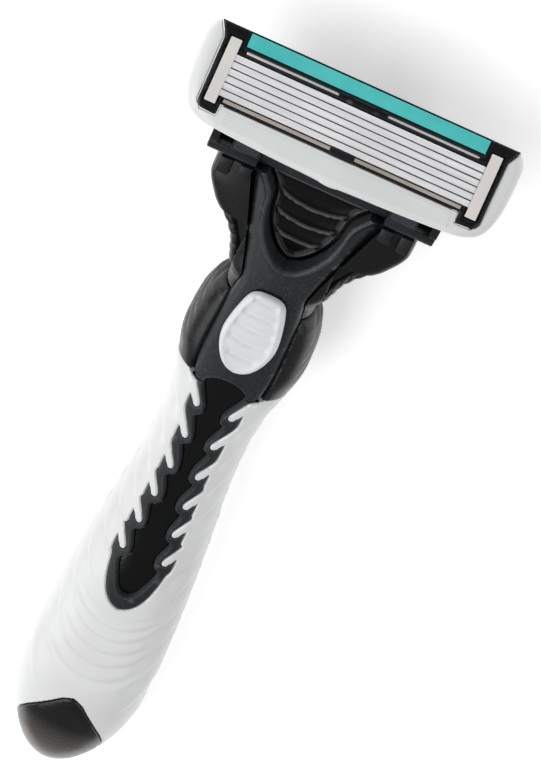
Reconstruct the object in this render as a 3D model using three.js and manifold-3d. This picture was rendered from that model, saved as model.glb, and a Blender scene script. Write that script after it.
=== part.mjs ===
// Cartridge razor: a six-blade pivoting cartridge on a barbell-shaped handle.
// Millimetres, +Z up. The razor lies on its back with the blades up, the head towards -Y, the tail
// towards +Y and +X along the cartridge. The origin lies on the flat of the rear grip pad.

import * as THREE from 'three';
import { mergeVertices } from 'three/addons/utils/BufferGeometryUtils.js';
import Module from 'manifold-3d';

const wasm = await Module();
wasm.setup();

// ---------------------------------------------------------------- driving dimensions

// The value at a share of the way from a to b.
function mix(a, b, share) {
  return a + (b - a) * share;
}

// Clearance between neighbouring pieces, and the running clearance of pins in holes.
const gap = 0.3;
const runningGap = 0.12;

// Handle: where its zones start and end along Y.
const headEnd = -49.9;          // front face of the fork arms
const shellStart = -14.2;       // black neck meets the white shells
const tailTip = 70;
const capSideLength = 5;        // the end cap is this long at the handle's sides
const capTopLength = 20;        // its front lobe is longer
const capRearLength = 16;       // and so is its rear lobe
const tailSplit = [tailTip - capSideLength, 8];
const capTopStart = tailTip - capTopLength;
const capRearStart = tailTip - capRearLength;

// Handle: half widths and heights that the sections run between.
const armHalfWidth = 13.8;
const neckHalfWidth = 6.0;
const shoulderHalfWidth = 8.8;
const waistHalfWidth = 6.5;
const bellyHalfWidth = 9.6;
const neckTop = 14.0;
const waistTop = 13.4;
const bellyTop = 15.2;
const backHeight = 0.5;         // the shells' back stays this far above the grip pad's ribs
const tailMiddle = 8.4;         // height of the tail's middle

// Neck sections: y, half width, top, bottom and squareness.
const neckStations = [
  [headEnd, armHalfWidth, 13.4, 6.6, 5],
  [-46.3, armHalfWidth, 13.4, 6.5, 5],
  [-42.6, armHalfWidth - 1.6, 13.4, 6.2, 5],
  [-39.3, armHalfWidth - 4.3, 13.5, 5.6, 4],
  [-36.5, neckHalfWidth + 2.0, 13.6, 4.9, 3.4],
  [-33.6, neckHalfWidth + 1.2, 13.8, 4.2, 3],
  [-31.6, neckHalfWidth, 13.9, 3.6, 2.8],
  [-30.2, neckHalfWidth + 0.1, neckTop, 3.2, 2.7],
  [-27.5, shoulderHalfWidth - 1.1, neckTop, 2.4, 2.6],
  [-23.5, shoulderHalfWidth - 0.2, neckTop + 0.1, 1.6, 2.5],
  [-19, shoulderHalfWidth, neckTop + 0.2, 1.1, 2.5],
  [shellStart, shoulderHalfWidth - 0.8, neckTop + 0.2, 0.8, 2.4],
];

// Grip sections: share of the grip's length, half width, top, rise of the back and squareness.
const gripStations = [
  [0.062, waistHalfWidth + 0.5, waistTop + 0.6, 0.1, 2.4],
  [0.145, waistHalfWidth, waistTop + 0.2, 0, 2.4],
  [0.24, waistHalfWidth + 0.2, waistTop, 0, 2.3],
  [0.36, mix(waistHalfWidth, bellyHalfWidth, 0.36), mix(waistTop, bellyTop, 0.12), 0, 2.3],
  [0.5, mix(waistHalfWidth, bellyHalfWidth, 0.68), mix(waistTop, bellyTop, 0.55), 0, 2.3],
  [0.645, mix(waistHalfWidth, bellyHalfWidth, 0.9), mix(waistTop, bellyTop, 0.9), 0, 2.3],
  [0.75, bellyHalfWidth, bellyTop, 0, 2.3],
  [0.835, bellyHalfWidth * 0.925, mix(tailMiddle, bellyTop, 0.94), 0.3, 2.2],
  [0.893, bellyHalfWidth * 0.79, mix(tailMiddle, bellyTop, 0.81), 1.0, 2.2],
  [0.94, bellyHalfWidth * 0.61, mix(tailMiddle, bellyTop, 0.63), 2.2, 2.1],
  [0.976, bellyHalfWidth * 0.41, mix(tailMiddle, bellyTop, 0.4), 3.8, 2],
  [0.995, bellyHalfWidth * 0.19, mix(tailMiddle, bellyTop, 0.15), 5.7, 2],
];
const stations = [...neckStations, ...gripStations.map(([share, half, top, rise, square]) => [
  mix(shellStart, tailTip, share), half, top, backHeight + rise, square,
])];
const sectionSides = 28;

// Shells and grip strip.
const wall = 1.8;
const seamZ = 7;
const inlayThickness = 1.4;
const insertDrop = 0.8;         // the glossy insert lies this far below the skin
const strip = { start: -16.2, end: 30.5, waist: 3.0, foot: 4.6 };
const barbs = { count: 6, first: -10.4, pitch: 6.1, reach: 0.9, depth: 1.2, tail: 0.9 };
const insertHalfWidth = 0.85;
const insertInset = 3.2;        // the insert ends this far inside the strip's ends

// Rear grip pad: the razor lies on its ribs.
const pad = { halfWidth: 3.6, depth: 1.5, ribPitch: 3.4, ribWidth: 2.2, grooveDepth: 0.5, capMargin: 6 };
const padRibAtOrigin = 3;       // this rib is centred on the origin

// The tail's peg, on which the end cap sits.
const tenon = { radius: 1.6, reach: 1.6 };

// Neck.
const coverSplit = 11.4;        // top of the core under the neck cover
const crown = { top: 14.0, halfWidth: 9, drop: 1.6 };
const throatFloor = 9.9;
const throatPad = 0.8;
const rib = { height: 0.5, width: 0.7, radius: 9, from: 0.32, sweep: 0.36, centres: [-47.6, -45.2, -42.8] };
const neckGrip = { start: -41, bend: -37.3, end: -33.2, depth: 1.3, notches: 4, notchWidth: 0.5 };
const neckGripSkin = {          // half widths of the skin at the grip's end, bend and start
  end: neckHalfWidth + 1.2,
  bend: neckHalfWidth + 2.4,
  start: armHalfWidth - 3,
};
const shoulder = { start: -29.6, end: -14.6, inner: shoulderHalfWidth - 3.2, bottom: 2.6 };
const coverHalfWidth = shoulder.inner - gap - 0.1;

// Release button, ejector slide and their travel towards the head.
const buttonTravel = 3;
const buttonHeight = 1.0;
const stem = { halfWidth: 1.3, start: -28.5, end: -23.5 };
const peg = { halfWidth: 0.9, inset: 1 };

// Docking tongue, the ejector slide whose rails pass beside it, plunger and springs.
const tongue = { tip: -54.2, halfWidth: 3.3, bottom: 6.6, top: 10.9 };
const railWidth = 1.0;
const slide = {
  start: -29.3, end: -22.6, halfWidth: tongue.halfWidth + gap + railWidth, bottom: 7.6, top: 9.2,
};
const plunger = { height: 8.4, radius: 0.9, rear: -47, paddle: 1.7, halfWidth: 1.6, top: 10.9, bottom: 7.4 };
const plungerGap = 0.4;
const springWall = -36.2;       // web between the two spring chambers
const springWebThickness = 0.9;
const springWire = 0.22;

// Cartridge: the middle of its shaving face, the face's tilt, and its size.
const faceCentre = [0, -64.2, 17.5];
const faceTilt = 38;            // degrees
const cartridge = { halfWidth: 21.2, cap: -6.6, back: -5.4, rimTop: -0.25 };
const blade = { count: 6, pitch: 0.92, thickness: 0.14, foot: -3.3, bend: -0.4, lean: 0.72, rise: 0.2 };
const bladeStart = -3.2;
const bladesEnd = bladeStart + (blade.count - 1) * blade.pitch + blade.lean + blade.thickness / 2;

// From the last blade to the guard edge, each piece follows the one before it.
const stopBarCap = bladesEnd + 0.16;
const stopBarWidth = 0.45;
const housing = {
  halfWidth: cartridge.halfWidth - 2.5, guardEdge: stopBarCap + stopBarWidth + gap, top: -0.45,
};
const stopBar = {
  halfWidth: housing.halfWidth - 2.8, cap: stopBarCap, guard: stopBarCap + stopBarWidth,
  top: -0.1, bottom: -0.9,
};
const windowZone = { halfWidth: housing.halfWidth - 1.3, cap: bladeStart - 0.2, guard: bladesEnd + 0.11 };
const lubeStrip = {
  halfWidth: housing.halfWidth - 2.75, cap: cartridge.cap + gap, guard: -4.55, depth: 1.0, proud: 0.15,
};
const clip = {
  inner: housing.halfWidth - 2, width: 1.45, cap: -5.0, guard: housing.guardEdge + 0.25,
  thickness: 0.32, leg: 3.6,
};
const rinseSlot = { inner: 3.3, outer: housing.halfWidth - 3.1, centre: -3.9, width: 0.36 };
const guardFins = {
  halfWidth: housing.halfWidth - 3.5, cap: housing.guardEdge + 0.65, width: 2.25,
  ridges: 5, height: 0.3, base: 0.7,
};
const finsEnd = guardFins.cap + guardFins.width;
const guardEdge = finsEnd + 0.7;

// Pivot between cartridge and docking yoke, in the cartridge's own frame.
const pivot = { y: 3.5, z: -7.9, pin: 1.1, ring: 1.9 };
const block = { inner: 8.7, outer: 12.6 };
const lug = { inner: block.outer + gap, outer: block.outer + gap + 1.2 };
const cheek = { inner: lug.outer + gap, outer: lug.outer + gap + 1.1 };
const pinSeat = 0.6;            // the pin's hole starts this far inside the block
const yoke = {
  rear: headEnd - 0.4, front: -54.8, top: 14.2, bottom: 6.4, barTop: 12.2, barDrop: 0.4,
  noseHalfWidth: tongue.halfWidth + 2.1,
};

// ---------------------------------------------------------------- solids

// A closed three.js geometry becomes a manifold solid.
function solid(geometry) {
  geometry.deleteAttribute('normal');
  geometry.deleteAttribute('uv');
  const merged = mergeVertices(geometry, 1e-5);
  const vertProperties = new Float32Array(merged.attributes.position.array);
  const triVerts = new Uint32Array(merged.index.array);
  return new wasm.Manifold(new wasm.Mesh({ numProp: 3, vertProperties, triVerts }));
}

function geometryOf(body) {
  const mesh = body.getMesh();
  const geometry = new THREE.BufferGeometry();
  geometry.setAttribute('position', new THREE.BufferAttribute(mesh.vertProperties, 3));
  geometry.setIndex(new THREE.BufferAttribute(mesh.triVerts, 1));
  geometry.computeVertexNormals();
  return geometry;
}

function union(...bodies) {
  return bodies.reduce((sum, body) => sum.add(body));
}

function box(x0, x1, y0, y1, z0, z1) {
  const geometry = new THREE.BoxGeometry(x1 - x0, y1 - y0, z1 - z0);
  geometry.translate((x0 + x1) / 2, (y0 + y1) / 2, (z0 + z1) / 2);
  return solid(geometry);
}

function area(points) {
  return THREE.ShapeUtils.area(points.map(([a, b]) => new THREE.Vector2(a, b)));
}

// An outline in the XY plane, raised from z0 to z1.
function plate(points, z0, z1) {
  const ring = area(points) > 0 ? points : [...points].reverse();
  const shape = new THREE.Shape(ring.map(([x, y]) => new THREE.Vector2(x, y)));
  const geometry = new THREE.ExtrudeGeometry(shape, { depth: z1 - z0, bevelEnabled: false });
  geometry.translate(0, 0, z0);
  return solid(geometry);
}

// An outline in the YZ plane, stretched from x0 to x1.
function profile(points, x0, x1) {
  const ring = area(points) > 0 ? points : [...points].reverse();
  const shape = new THREE.Shape(ring.map(([y, z]) => new THREE.Vector2(y, z)));
  const geometry = new THREE.ExtrudeGeometry(shape, { depth: x1 - x0, bevelEnabled: false });
  geometry.applyMatrix4(new THREE.Matrix4().set(0, 0, 1, x0, 1, 0, 0, 0, 0, 1, 0, 0, 0, 0, 0, 1));
  return solid(geometry);
}

// A round rod along X or along Y.
function rodX(radius, y, z, x0, x1, sides = 16) {
  const geometry = new THREE.CylinderGeometry(radius, radius, x1 - x0, sides);
  geometry.rotateZ(Math.PI / 2);
  geometry.translate((x0 + x1) / 2, y, z);
  return solid(geometry);
}

function rodY(radius, x, z, y0, y1, sides = 12) {
  const geometry = new THREE.CylinderGeometry(radius, radius, y1 - y0, sides);
  geometry.translate(x, (y0 + y1) / 2, z);
  return solid(geometry);
}

function mirrorX(points) {
  return points.map(([x, y]) => [-x, y]).reverse();
}

// A right-hand half outline and its mirror image make one closed outline.
function bothSides(half) {
  const left = mirrorX(half).filter(([x]) => Math.abs(x) > 1e-6);
  return [...half, ...left];
}

// A closed outline moved outwards by d (inwards when d is negative), corners mitred.
function grow(points, d) {
  const ring = area(points) > 0 ? points : [...points].reverse();
  return ring.map((p, i) => {
    const before = ring[(i + ring.length - 1) % ring.length];
    const after = ring[(i + 1) % ring.length];
    const a = new THREE.Vector2(p[0] - before[0], p[1] - before[1]).normalize();
    const b = new THREE.Vector2(after[0] - p[0], after[1] - p[1]).normalize();
    const normal = new THREE.Vector2(a.y + b.y, -a.x - b.x).normalize();
    const stretch = Math.max(0.5, normal.x * a.y - normal.y * a.x);
    return [p[0] + (normal.x * d) / stretch, p[1] + (normal.y * d) / stretch];
  });
}

// The handle's skin, moved inwards by an offset: rings of a superellipse at each station.
function handleBody(offset, from = -Infinity, to = Infinity) {
  const used = stations.filter(([y]) => y >= from && y <= to);
  const positions = [];
  for (const [y, halfWidth, top, bottom, square] of used) {
    const a = Math.max(0.3, halfWidth - offset);
    const b = Math.max(0.3, (top - bottom) / 2 - offset);
    const middle = (top + bottom) / 2;
    for (let k = 0; k < sectionSides; k += 1) {
      const angle = (2 * Math.PI * k) / sectionSides;
      const c = Math.cos(angle);
      const s = Math.sin(angle);
      const x = a * Math.sign(c) * Math.abs(c) ** (2 / square);
      const z = middle + b * Math.sign(s) * Math.abs(s) ** (2 / square);
      positions.push(x, y, z);
    }
  }
  const first = used[0];
  const last = used[used.length - 1];
  const reachesTail = stations[stations.length - 1] === last;
  const tip = reachesTail ? tailTip - offset : last[0];
  positions.push(0, first[0], (first[2] + first[3]) / 2);
  positions.push(0, tip, (last[2] + last[3]) / 2);
  const startHub = used.length * sectionSides;
  const endHub = startHub + 1;
  const faces = [];
  for (let k = 0; k < sectionSides; k += 1) {
    const next = (k + 1) % sectionSides;
    for (let i = 0; i < used.length - 1; i += 1) {
      const a = i * sectionSides + k;
      const b = i * sectionSides + next;
      const c = a + sectionSides;
      const d = b + sectionSides;
      faces.push(a, b, c, b, d, c);
    }
    faces.push(startHub, next, k);
    const lastRing = (used.length - 1) * sectionSides;
    faces.push(endHub, lastRing + k, lastRing + next);
  }
  const geometry = new THREE.BufferGeometry();
  geometry.setAttribute('position', new THREE.Float32BufferAttribute(positions, 3));
  geometry.setIndex(faces);
  const body = solid(geometry);
  return body.volume() > 0 ? body : solid(flipped(geometry));
}

function flipped(geometry) {
  const index = Array.from(geometry.index.array);
  for (let i = 0; i < index.length; i += 3) {
    [index[i], index[i + 1]] = [index[i + 1], index[i]];
  }
  geometry.setIndex(index);
  return geometry;
}

// A smooth closed outline through hand-placed points.
function smoothOutline(points, steps) {
  const curve = new THREE.CatmullRomCurve3(points.map(([x, y]) => new THREE.Vector3(x, y, 0)), true);
  return curve.getPoints(steps).slice(0, -1).map((p) => [p.x, p.y]);
}

// ---------------------------------------------------------------- materials

function finish(color, roughness, metalness = 0) {
  return new THREE.MeshStandardMaterial({ color, roughness, metalness });
}

const whiteAbs = finish('#eeefed', 0.35);
const blackAbs = finish('#141517', 0.3);
const charcoalAbs = finish('#303337', 0.5);
const blackRubber = finish('#1b1c1e', 0.6);
const glossBlack = finish('#08090a', 0.12);
const capRubber = finish('#35322f', 0.45);
const buttonWhite = finish('#e4e6e5', 0.4);
const teal = finish('#56cdc9', 0.45);
const steel = finish('#dcdcde', 0.28, 1);
const clipAluminium = finish('#dedad7', 0.42, 1);
const guardRubber = finish('#dde1e0', 0.6);
const springSteel = finish('#a9acb0', 0.3, 1);
const barAluminium = finish('#b9b3aa', 0.45, 1);

// ---------------------------------------------------------------- outlines on the handle

// Throat: the hollow between the fork arms, open towards the head.
const throatOutline = bothSides([
  [0, -37.3], [1.6, -38], [2.9, -39.5], [4.2, -41.8], [4.8, -43.5], [5.1, -47], [5.9, -48.5],
  [7.6, headEnd - 1],
]);

// Neck cover: the charcoal plate from the fork arms to the grip strip.
const coverOutline = bothSides([
  [0, shellStart - gap], [coverHalfWidth, shellStart - gap], [coverHalfWidth, -20],
  [coverHalfWidth - gap, -29.5], [neckHalfWidth - 1.7, -33], [neckHalfWidth - 0.7, -37],
  [6.4, -41], [7.9, -46], [9, headEnd + 0.2], [0, headEnd + 0.2],
]);

// Release button: an egg, wide towards the tail.
const buttonOutline = smoothOutline(bothSides([
  [0, -18.8], [2.1, -19.9], [3.4, -22.4], [3.9, -25.6], [3.5, -28.8], [2.8, -31.5], [1.6, -32.8],
  [0, -33],
]), 32);

// Grip strip: a long drop with a barb of the white shell cutting in below each black spike.
function stripHalfWidth(y) {
  const share = (y - strip.start) / (strip.end - strip.start);
  const spread = Math.abs(share - 0.32) / 0.68;
  return strip.waist + (strip.foot - strip.waist) * Math.min(1, spread) ** 1.6;
}

function stripHalf() {
  const half = [[0, strip.start], [1.6, strip.start + 0.5], [2.9, strip.start + 1.8]];
  for (let i = 0; i < barbs.count; i += 1) {
    const y = barbs.first + i * barbs.pitch;
    const w = stripHalfWidth(y);
    half.push([w - 0.1, y - barbs.depth - 1.4]);
    half.push([w + 0.45, y - barbs.depth]);
    half.push([w - barbs.reach, y]);
    half.push([w - 0.25, y + barbs.tail * 0.7]);
  }
  half.push([strip.foot, strip.end - 7.5]);
  half.push([strip.foot - 0.8, strip.end - 4]);
  half.push([strip.foot - 2.2, strip.end - 1.2]);
  half.push([0, strip.end]);
  return half;
}
const stripOutline = bothSides(stripHalf());

// Glossy insert: a narrow drop inside the strip.
const insertOutline = bothSides([
  [0, strip.start + insertInset],
  [insertHalfWidth * 0.8, strip.start + insertInset + 0.6],
  [insertHalfWidth, strip.start + insertInset + 3],
  [insertHalfWidth, strip.end - insertInset - 8],
  [insertHalfWidth * 1.9, strip.end - insertInset - 4],
  [insertHalfWidth * 1.5, strip.end - insertInset - 1.4],
  [0, strip.end - insertInset],
]);

// Side view of the line between the shells and the end cap.
const tailLine = [
  [shellStart - 10, 40], [capTopStart - 20, 24.8], [capTopStart, stationTop(capTopStart)], tailSplit,
  [capRearStart, 0.5], [capRearStart - 8, -5], [shellStart - 10, -5],
];

function stationTop(y) {
  const after = stations.findIndex((s) => s[0] >= y);
  const [y1, , top1] = stations[after];
  const [y0, , top0] = stations[after - 1];
  return top0 + ((top1 - top0) * (y - y0)) / (y1 - y0);
}

// ---------------------------------------------------------------- handle pieces

const wide = 40;                // half size of cutting bodies, larger than the razor
const skin = handleBody(0);
const shellZone = profile(tailLine, -wide, wide).intersect(box(-wide, wide, shellStart, wide * 2, -wide, wide));

function shells() {
  const hollow = handleBody(wall);
  return skin.intersect(shellZone).subtract(hollow);
}

function frontShell() {
  const upper = box(-wide, wide, -wide, wide * 2, seamZ + gap / 2, wide);
  return shells().intersect(upper).subtract(plate(stripOutline, seamZ, wide));
}

function rearShell() {
  const lower = box(-wide, wide, -wide, wide * 2, -wide, seamZ - gap / 2);
  return shells().intersect(lower).subtract(padPocket());
}

const padStart = -padRibAtOrigin * pad.ribPitch - pad.ribWidth / 2;
const padRoom = capRearStart - pad.capMargin - padStart - pad.ribWidth;
const padRibs = Math.floor(padRoom / pad.ribPitch) + 1;
const padLength = (padRibs - 1) * pad.ribPitch + pad.ribWidth;

function padPocket() {
  const half = pad.halfWidth + gap;
  return box(-half, half, padStart - gap, padStart + padLength + gap, -1, pad.depth + gap);
}

function rearGrip() {
  const points = [];
  for (let i = 0; i < padRibs; i += 1) {
    const y = padStart + i * pad.ribPitch;
    points.push([y, 0], [y + pad.ribWidth, 0]);
    if (i < padRibs - 1) {
      points.push([y + pad.ribWidth, pad.grooveDepth], [y + pad.ribPitch, pad.grooveDepth]);
    }
  }
  points.push([padStart + padLength, pad.depth], [padStart, pad.depth]);
  return profile(points, -pad.halfWidth, pad.halfWidth);
}

function gripInlay() {
  const under = handleBody(inlayThickness);
  const hole = plate(grow(insertOutline, gap), 0, wide);
  return skin.subtract(under).intersect(plate(grow(stripOutline, -gap), seamZ, wide)).subtract(hole);
}

function gripInsert() {
  const top = handleBody(insertDrop);
  const under = handleBody(inlayThickness + 0.2);
  return top.subtract(under).intersect(plate(insertOutline, seamZ, wide));
}

function endCap() {
  const zone = profile(grow(tailLine, gap), -wide, wide);
  const socket = rodY(tenon.radius + gap, 0, tailSplit[1], capTopStart, tailSplit[0] + tenon.reach + gap);
  return skin.subtract(zone).intersect(box(-wide, wide, 20, wide * 2, -wide, wide)).subtract(socket);
}

// The neck's top plate keeps below a crown that is straight along Y, so the button can slide on it.
function crownBody(raise, y0, y1) {
  const points = [];
  for (let i = -6; i <= 6; i += 1) {
    const x = (i / 6) * crown.halfWidth;
    points.push([x, crown.top + raise - crown.drop * (x / crown.halfWidth) ** 2]);
  }
  points.push([crown.halfWidth, -wide], [-crown.halfWidth, -wide]);
  const shape = new THREE.Shape(points.map(([x, z]) => new THREE.Vector2(x, z)));
  const geometry = new THREE.ExtrudeGeometry(shape, { depth: y1 - y0, bevelEnabled: false });
  geometry.rotateX(Math.PI / 2);
  geometry.translate(0, y1, 0);
  return solid(geometry);
}

function stemSlot() {
  const start = stem.start - buttonTravel - gap;
  return box(-stem.halfWidth - gap, stem.halfWidth + gap, start, stem.end + gap, coverSplit, wide);
}

function neckCover() {
  const top = skin.intersect(crownBody(0, headEnd - 5, shellStart + 5));
  return top.intersect(plate(coverOutline, coverSplit + gap, wide))
    .subtract(plate(throatOutline, 0, wide))
    .subtract(plate(stripOutline, 0, wide))
    .subtract(stemSlot());
}

function throatPadBody() {
  const base = plate(grow(throatOutline, -gap), throatFloor + gap, throatFloor + gap + throatPad);
  const cutHead = box(-wide, wide, headEnd, 0, 0, wide);
  const ribs = rib.centres.map((y) => {
    const ring = [];
    const steps = 10;
    for (let i = 0; i <= steps; i += 1) {
      const angle = Math.PI * (rib.from + (rib.sweep * i) / steps);
      ring.push([rib.radius * Math.cos(angle), y - rib.radius + rib.radius * Math.sin(angle)]);
    }
    const outer = rib.radius + rib.width;
    for (let i = steps; i >= 0; i -= 1) {
      const angle = Math.PI * (rib.from + (rib.sweep * i) / steps);
      ring.push([outer * Math.cos(angle), y - rib.radius + outer * Math.sin(angle)]);
    }
    const foot = throatFloor + gap + throatPad - 0.1;
    return plate(ring, foot, foot + 0.1 + rib.height);
  });
  const inside = plate(grow(throatOutline, -gap), 0, wide);
  return union(base, ...ribs).intersect(inside).intersect(cutHead);
}

// The zones that rubber overmoulds fill at the neck's sides; side is 1 or -1.
function neckGripZone(side, extra) {
  const inner = [
    [neckGripSkin.end - neckGrip.depth, neckGrip.end], [neckGripSkin.bend - neckGrip.depth, neckGrip.bend],
    [neckGripSkin.start - neckGrip.depth, neckGrip.start], [wide, neckGrip.start], [wide, neckGrip.end],
  ].map(([x, y]) => [x * side, y]);
  return plate(grow(inner, extra), -wide, wide);
}

function neckGripBody(side) {
  let body = skin.intersect(neckGripZone(side, 0));
  const pitch = (neckGrip.end - neckGrip.start) / neckGrip.notches;
  const slope = (neckGripSkin.start - neckGripSkin.end) / 6.2;
  for (let i = 0; i < neckGrip.notches; i += 1) {
    const y = neckGrip.start + (i + 0.5) * pitch;
    const edge = neckGripSkin.end + Math.max(0, neckGrip.end - 1.3 - y) * slope;
    const cut = box(edge - 0.15, wide, y, y + neckGrip.notchWidth, -wide, wide);
    body = body.subtract(side > 0 ? cut : mirrored(cut));
  }
  return body;
}

function mirrored(body) {
  return body.mirror([1, 0, 0]);
}

function shoulderZone(side, extra) {
  const points = [
    [shoulder.inner, shoulder.end], [shoulder.inner, -22], [shoulder.inner - 0.2, shoulder.start],
    [wide, shoulder.start], [wide, shoulder.end],
  ].map(([x, y]) => [x * side, y]);
  return plate(grow(points, extra), shoulder.bottom - extra, wide);
}

function shoulderGrip(side) {
  return skin.intersect(shoulderZone(side, 0)).intersect(crownBody(0, -35, -10));
}

// One black moulding: fork arms, neck, docking tongue and the spine inside the shells.
function handleCore() {
  const neckZone = box(-wide, wide, headEnd, shellStart - gap, -wide, wide);
  const spine = handleBody(wall + gap, -24);
  const shellInside = profile(grow(tailLine, -gap - wall), -wide, wide);
  const spineZone = box(-wide, wide, shellStart - 6, wide * 2, -wide, wide);
  const tailPeg = rodY(tenon.radius, 0, tailSplit[1], capTopStart, tailSplit[0] + tenon.reach);
  let body = skin.intersect(neckZone);
  body = body.add(spine.intersect(shellInside).intersect(spineZone)).add(tailPeg);
  body = body.add(box(-tongue.halfWidth, tongue.halfWidth, tongue.tip, headEnd + 1, tongue.bottom, tongue.top));
  // Room for the cover, the grips, the throat and the grip strip.
  body = body.subtract(plate(grow(coverOutline, gap), coverSplit, wide));
  body = body.subtract(plate(grow(throatOutline, gap), throatFloor, wide).intersect(neckZone));
  for (const side of [1, -1]) {
    body = body.subtract(neckGripZone(side, gap));
    body = body.subtract(shoulderZone(side, gap));
  }
  body = body.subtract(padPocket());
  // Chambers for the ejector slide, the two springs and the plunger.
  const floor = slide.bottom - gap;
  const chamberHalf = slide.halfWidth + gap;
  body = body.subtract(box(-chamberHalf, chamberHalf, springWall, slide.end + gap, floor, wide));
  for (const side of [1, -1]) {
    const inner = side * (slide.halfWidth - railWidth - gap);
    const outer = side * chamberHalf;
    const low = Math.min(inner, outer);
    const high = Math.max(inner, outer);
    body = body.subtract(box(low, high, headEnd - 1, springWall + 1, floor, wide));
  }
  const bore = rodY(plunger.radius + gap, 0, plunger.height, tongue.tip - 1, springWall - springWebThickness);
  return body.subtract(bore);
}

// ---------------------------------------------------------------- button and plunger

function releaseButton() {
  const cap = plate(buttonOutline, coverSplit, wide)
    .intersect(crownBody(gap + buttonHeight, -40, -10))
    .subtract(crownBody(gap, -40, -10));
  const post = box(-stem.halfWidth, stem.halfWidth, stem.start, stem.end,
    slide.top + gap, crown.top + gap + 0.5);
  const foot = box(-peg.halfWidth, peg.halfWidth, stem.start + peg.inset, stem.end - peg.inset,
    slide.bottom + gap, slide.top + gap + 0.5);
  return union(cap, post, foot);
}

function ejectorSlide() {
  const plateBody = box(-slide.halfWidth, slide.halfWidth, slide.start, slide.end, slide.bottom, slide.top);
  const railTip = headEnd + buttonTravel;
  const rails = [1, -1].map((side) => {
    const a = side * slide.halfWidth;
    const b = side * (slide.halfWidth - railWidth);
    return box(Math.min(a, b), Math.max(a, b), railTip, slide.start + 1, slide.bottom, slide.top);
  });
  const hole = box(-peg.halfWidth - gap, peg.halfWidth + gap, stem.start + peg.inset - gap,
    stem.end - peg.inset + gap, 0, wide);
  return union(plateBody, ...rails).subtract(hole);
}

// The y of the cartridge's back plane at a height.
function backPlaneY(z) {
  const tilt = THREE.MathUtils.degToRad(faceTilt);
  const along = (z - faceCentre[2] - cartridge.back * Math.cos(tilt)) / Math.sin(tilt);
  return faceCentre[1] + along * Math.cos(tilt) - cartridge.back * Math.sin(tilt);
}

function plungerBody() {
  const tip = backPlaneY(plunger.top) + plungerGap;
  const paddleRear = tip + plunger.paddle;
  const paddle = profile([
    [tip, plunger.top - 0.3], [tip + 0.3, plunger.top], [paddleRear, plunger.top],
    [paddleRear, plunger.bottom], [tip + 0.6, plunger.bottom], [tip, plunger.bottom + 0.8],
  ], -plunger.halfWidth, plunger.halfWidth);
  const rod = rodY(plunger.radius, 0, plunger.height, paddleRear - 0.5, plunger.rear);
  return union(paddle, rod);
}

class Helix extends THREE.Curve {
  constructor(radius, z, y0, y1, turns) {
    super();
    Object.assign(this, { radius, z, y0, y1, turns });
  }

  getPoint(t, target = new THREE.Vector3()) {
    const angle = 2 * Math.PI * this.turns * t;
    const y = this.y0 + (this.y1 - this.y0) * t;
    return target.set(this.radius * Math.cos(angle), y, this.z + this.radius * Math.sin(angle));
  }
}

function spring(radius, z, y0, y1, turns) {
  const section = new THREE.Shape();
  section.absarc(0, 0, springWire, 0, 2 * Math.PI);
  const path = new Helix(radius, z, y0, y1, turns);
  const steps = turns * 9;
  const options = { steps, curveSegments: 5, bevelEnabled: false, extrudePath: path };
  return solid(new THREE.ExtrudeGeometry(section, options));
}

// ---------------------------------------------------------------- cartridge pieces
// The cartridge's own frame: +Y from cap to guard, +Z out of the shaving face.

const frameSide = cartridge.halfWidth;
const frameOutline = bothSides([
  [0, guardEdge + 0.25], [1.6, guardEdge + 0.05], [8, guardEdge - 0.15], [frameSide - 5.3, guardEdge - 0.6],
  [frameSide - 3.5, guardEdge - 0.8], [frameSide - 1.7, guardEdge - 1.6], [frameSide - 0.7, guardEdge - 3.3],
  [frameSide - 0.2, guardEdge - 5.5], [frameSide, cartridge.cap + 6.1], [frameSide, cartridge.cap + 1.7],
  [frameSide - 0.6, cartridge.cap + 0.6], [frameSide - 1.2, cartridge.cap], [0, cartridge.cap],
]);

function housingZone(extra) {
  const half = housing.halfWidth + extra;
  return box(-half, half, cartridge.cap - 2, housing.guardEdge + extra, -wide, wide);
}

// White frame: two end caps joined by the guard carrier.
function cartridgeFrame() {
  const outer = plate(frameOutline, cartridge.back, cartridge.rimTop);
  const finSeat = box(-guardFins.halfWidth - gap, guardFins.halfWidth + gap,
    guardFins.cap - gap, finsEnd + gap, cartridge.rimTop - guardFins.base, wide);
  return outer.subtract(housingZone(gap)).subtract(finSeat);
}

function guardFinStrip() {
  const step = guardFins.width / guardFins.ridges;
  const low = cartridge.rimTop - guardFins.base + gap;
  const crest = cartridge.rimTop + guardFins.height;
  const points = [[guardFins.cap, low]];
  for (let i = 0; i < guardFins.ridges; i += 1) {
    const y = guardFins.cap + i * step;
    points.push([y, cartridge.rimTop], [y + step * 0.3, crest], [y + step * 0.7, crest]);
  }
  points.push([finsEnd, cartridge.rimTop], [finsEnd, low]);
  return profile(points, -guardFins.halfWidth, guardFins.halfWidth);
}

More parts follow.
